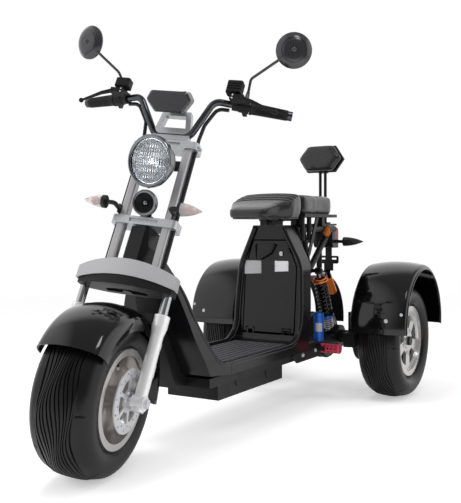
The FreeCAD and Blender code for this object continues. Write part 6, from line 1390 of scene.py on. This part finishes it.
def studio_world():
    """White room: soft light, and for gloss a white backdrop, a half-lit ceiling and two lit sides."""
    world = bpy.data.worlds.new("studio")
    world.use_nodes = True
    sky = world.node_tree.nodes["Background"]
    turn = math.radians(camera_azimuth_deg)
    backdrop = (-math.sin(turn), math.cos(turn), 0.0)
    lit_side = (-math.cos(turn), -math.sin(turn), 0.25)
    right_side = (math.cos(turn), math.sin(turn), 0.15)
    place = add(world, "TexCoord", {}, "Generated")

    def lit(direction, start, end, level):
        toward = add(world, "VectorMath", {0: place, 1: direction}, "Value", operation="DOT_PRODUCT")
        return add(world, "MapRange", {"Value": toward, "From Min": start, "From Max": end,
                                       "To Min": dim_strength, "To Max": level},
                   interpolation_type="SMOOTHSTEP")

    def larger(first, second):
        return add(world, "Math", {0: first, 1: second}, operation="MAXIMUM")

    behind_and_above = larger(lit(backdrop, 0.25, 0.6, backdrop_strength),
                              lit((0, 0, 1), 0.45, 0.8, ceiling_strength))
    both_sides = larger(lit(lit_side, 0.45, 0.8, lit_side_strength),
                        lit(right_side, 0.74, 0.90, right_side_strength))
    path = add(world, "LightPath", {}).node.outputs
    mirrored_or_through = larger(path["Is Glossy Ray"], path["Is Transmission Ray"])
    room = larger(behind_and_above, both_sides)
    level = add(world, "Mix", {0: mirrored_or_through, 2: room_strength, 3: room})
    seen = add(world, "Mix", {0: path["Is Camera Ray"], 2: level, 3: backdrop_strength})
    join(world, seen, sky, "Strength")
    sky.inputs["Color"].default_value = (1, 1, 1, 1)
    bpy.context.scene.world = world


# Operators

class TRIKE_OT_finishes(bpy.types.Operator):
    """Makes the finishes and gives every piece of the frame its own"""
    bl_idname = "trike.finishes"
    bl_label = "Finishes"

    def execute(self, context):
        colours = context.scene.trike_colours
        gloss_black_plastic(colours.body)
        silver_painted_cover(colours.cover)
        satin_anodised_tube(colours.fork)
        tyre_rubber(colours.rubber)
        seat_vinyl(colours.leather)
        for make in (satin_black_plastic, powder_coated_steel, matt_black_plastic, cast_aluminium,
                     milled_aluminium, zinc_plated_steel, polished_alloy, grip_rubber, floor_mat_rubber,
                     spring_enamel, clear_glass, mirror_silvering, wrapped_loom, blank_label, blank_plate,
                     display_glass, dyed_bulb_glass, bright_reflector, machined_rim_with_painted_shade, sheen_painted_black_shell,
                     satin_tower_plastic):
            make()
        chrome_plate("chrome_plate", "C9CACC", 0.04, 0.12)
        chrome_plate("dark_chrome", "8A8C90", 0.06, 0.14)
        chrome_plate("satin_chrome", "5A5C60", 0.18, 0.30)
        lamp_lenses()
        anodised("orange_anodised", colours.canister)
        anodised("blue_anodised", colours.reservoir)
        anodised("red_anodised", colours.peg)
        coloured_lens("amber_acrylic", "E8740E")
        for name, node in nodes.items():
            for slot in node.material_slots:
                slot_finish = slot_finishes.get(slot.material.name.split(".")[0], "powder_coated_steel")
                slot.material = finishes[node_finishes.get(name, slot_finish)]
        return {"FINISHED"}


class TRIKE_OT_tyres(bpy.types.Operator):
    """Puts grooved tyres in place of the plain ones"""
    bl_idname = "trike.tyres"
    bl_label = "Tyres"

    def execute(self, context):
        sizes = context.scene.trike_sizes
        dressed_tyre("front_tyre", "front_wheel", "front_wheel_spin", sizes.front_tyre_width,
                     front_rim_width, sizes)
        for side in ("left", "right"):
            dressed_tyre("rear_tyre_" + side, "rear_wheel_" + side, "rear_" + side + "_wheel_spin",
                         sizes.rear_tyre_width, rear_rim_width, sizes)
        return {"FINISHED"}


class TRIKE_OT_springs(bpy.types.Operator):
    """Winds the coil springs of the shock absorbers"""
    bl_idname = "trike.springs"
    bl_label = "Springs"

    def execute(self, context):
        coil_springs(context.scene.trike_sizes)
        return {"FINISHED"}


class TRIKE_OT_wheel_trim(bpy.types.Operator):
    """Adds disc screws, wheel bolts and tyre valves"""
    bl_idname = "trike.wheel_trim"
    bl_label = "Wheel trim"

    def execute(self, context):
        wheel_trim()
        return {"FINISHED"}


class TRIKE_OT_lamps(bpy.types.Operator):
    """Fits the headlight's glass, reflector, bulb and bezel, the horn and the indicators' bulbs"""
    bl_idname = "trike.lamps"
    bl_label = "Lamps and horn"

    def execute(self, context):
        headlight_inside()
        fluted_glass(context.scene.trike_sizes)
        lamp_bezel()
        horn_trumpet()
        indicator_insides()
        return {"FINISHED"}


class TRIKE_OT_controls(bpy.types.Operator):
    """Makes the ridged grips, the controls' screws, the circles on the mirrors and the display's window"""
    bl_idname = "trike.controls"
    bl_label = "Handlebar controls"

    def execute(self, context):
        ridged_grips(context.scene.trike_sizes)
        control_trim()
        mirror_rings()
        display_window()
        return {"FINISHED"}


class TRIKE_OT_plates(bpy.types.Operator):
    """Adds blank plates and labels, bolts, latches, reflectors, the door's lock and drilled foot pegs"""
    bl_idname = "trike.plates"
    bl_label = "Plates, bolts and pegs"

    def execute(self, context):
        plate_between("grey_plate", grey_plate_edges, "blank_label")
        plate_between("white_plate", white_plate_edges, "blank_plate")
        body_bolts(context.scene.trike_sizes)
        tray_latches()
        oval_reflectors()
        door_lock()
        canister_labels()
        drilled_peg("left", 1)
        drilled_peg("right", -1)
        return {"FINISHED"}


class TRIKE_OT_seats(bpy.types.Operator):
    """Makes the saddle, the passenger pad and the backrest as sewn covers over foam"""
    bl_idname = "trike.seats"
    bl_label = "Seats"

    def execute(self, context):
        sizes = context.scene.trike_sizes
        padded_piece("sewn_saddle", "rider_saddle", sizes, saddle_ribs)
        padded_piece("sewn_passenger_pad", "passenger_pad", sizes, pad_cover)
        padded_piece("sewn_backrest", "backrest_pad", sizes)
        return {"FINISHED"}


class TRIKE_OT_stage(bpy.types.Operator):
    """Sets the floor, the light and the photograph's viewpoint"""
    bl_idname = "trike.stage"
    bl_label = "Stage"

    def execute(self, context):
        context.scene.view_settings.view_transform = "Standard"
        studio_world()
        pale_floor()
        softbox("top_softbox", (-0.4, -0.6, 2.2), (1.6, 1.0), 26.0)
        softbox("front_softbox", (-1.6, -2.6, 1.0), (0.7, 1.6), 22.0)
        softbox("window_softbox", (1.3, -0.9, 2.3), (0.5, 0.9), 8.0, True)
        softbox("low_softbox", (2.3, -1.3, 0.0), (1.2, 0.6), 10.0, aim_offset=(0.0, -0.4, -0.3))
        softbox("side_softbox", (2.8, 0.6, 1.2), (0.6, 1.8), 12.0)
        photo_camera()
        return {"FINISHED"}


class TRIKE_PT_panel(bpy.types.Panel):
    """Lists the trike's operators in the sidebar"""
    bl_idname = "TRIKE_PT_panel"
    bl_label = "Trike"
    bl_space_type = "VIEW_3D"
    bl_region_type = "UI"
    bl_category = "Trike"

    def draw(self, context):
        for operator in operators:
            self.layout.operator(operator.bl_idname)
        for group in (context.scene.trike_sizes, context.scene.trike_colours):
            for name in group.__annotations__:
                self.layout.prop(group, name)


operators = [TRIKE_OT_finishes, TRIKE_OT_tyres, TRIKE_OT_wheel_trim, TRIKE_OT_springs, TRIKE_OT_lamps,
             TRIKE_OT_controls, TRIKE_OT_plates, TRIKE_OT_seats, TRIKE_OT_stage]
classes = [TrikeSizes, TrikeColours] + operators + [TRIKE_PT_panel]


def register():
    for each in classes:
        bpy.utils.register_class(each)
    bpy.types.Scene.trike_sizes = bpy.props.PointerProperty(type=TrikeSizes)
    bpy.types.Scene.trike_colours = bpy.props.PointerProperty(type=TrikeColours)


def unregister():
    del bpy.types.Scene.trike_colours
    del bpy.types.Scene.trike_sizes
    for each in reversed(classes):
        bpy.utils.unregister_class(each)


def main():
    register()
    for operator in operators:
        group, name = operator.bl_idname.split(".")
        getattr(getattr(bpy.ops, group), name)()


if __name__ == "__main__":
    main()
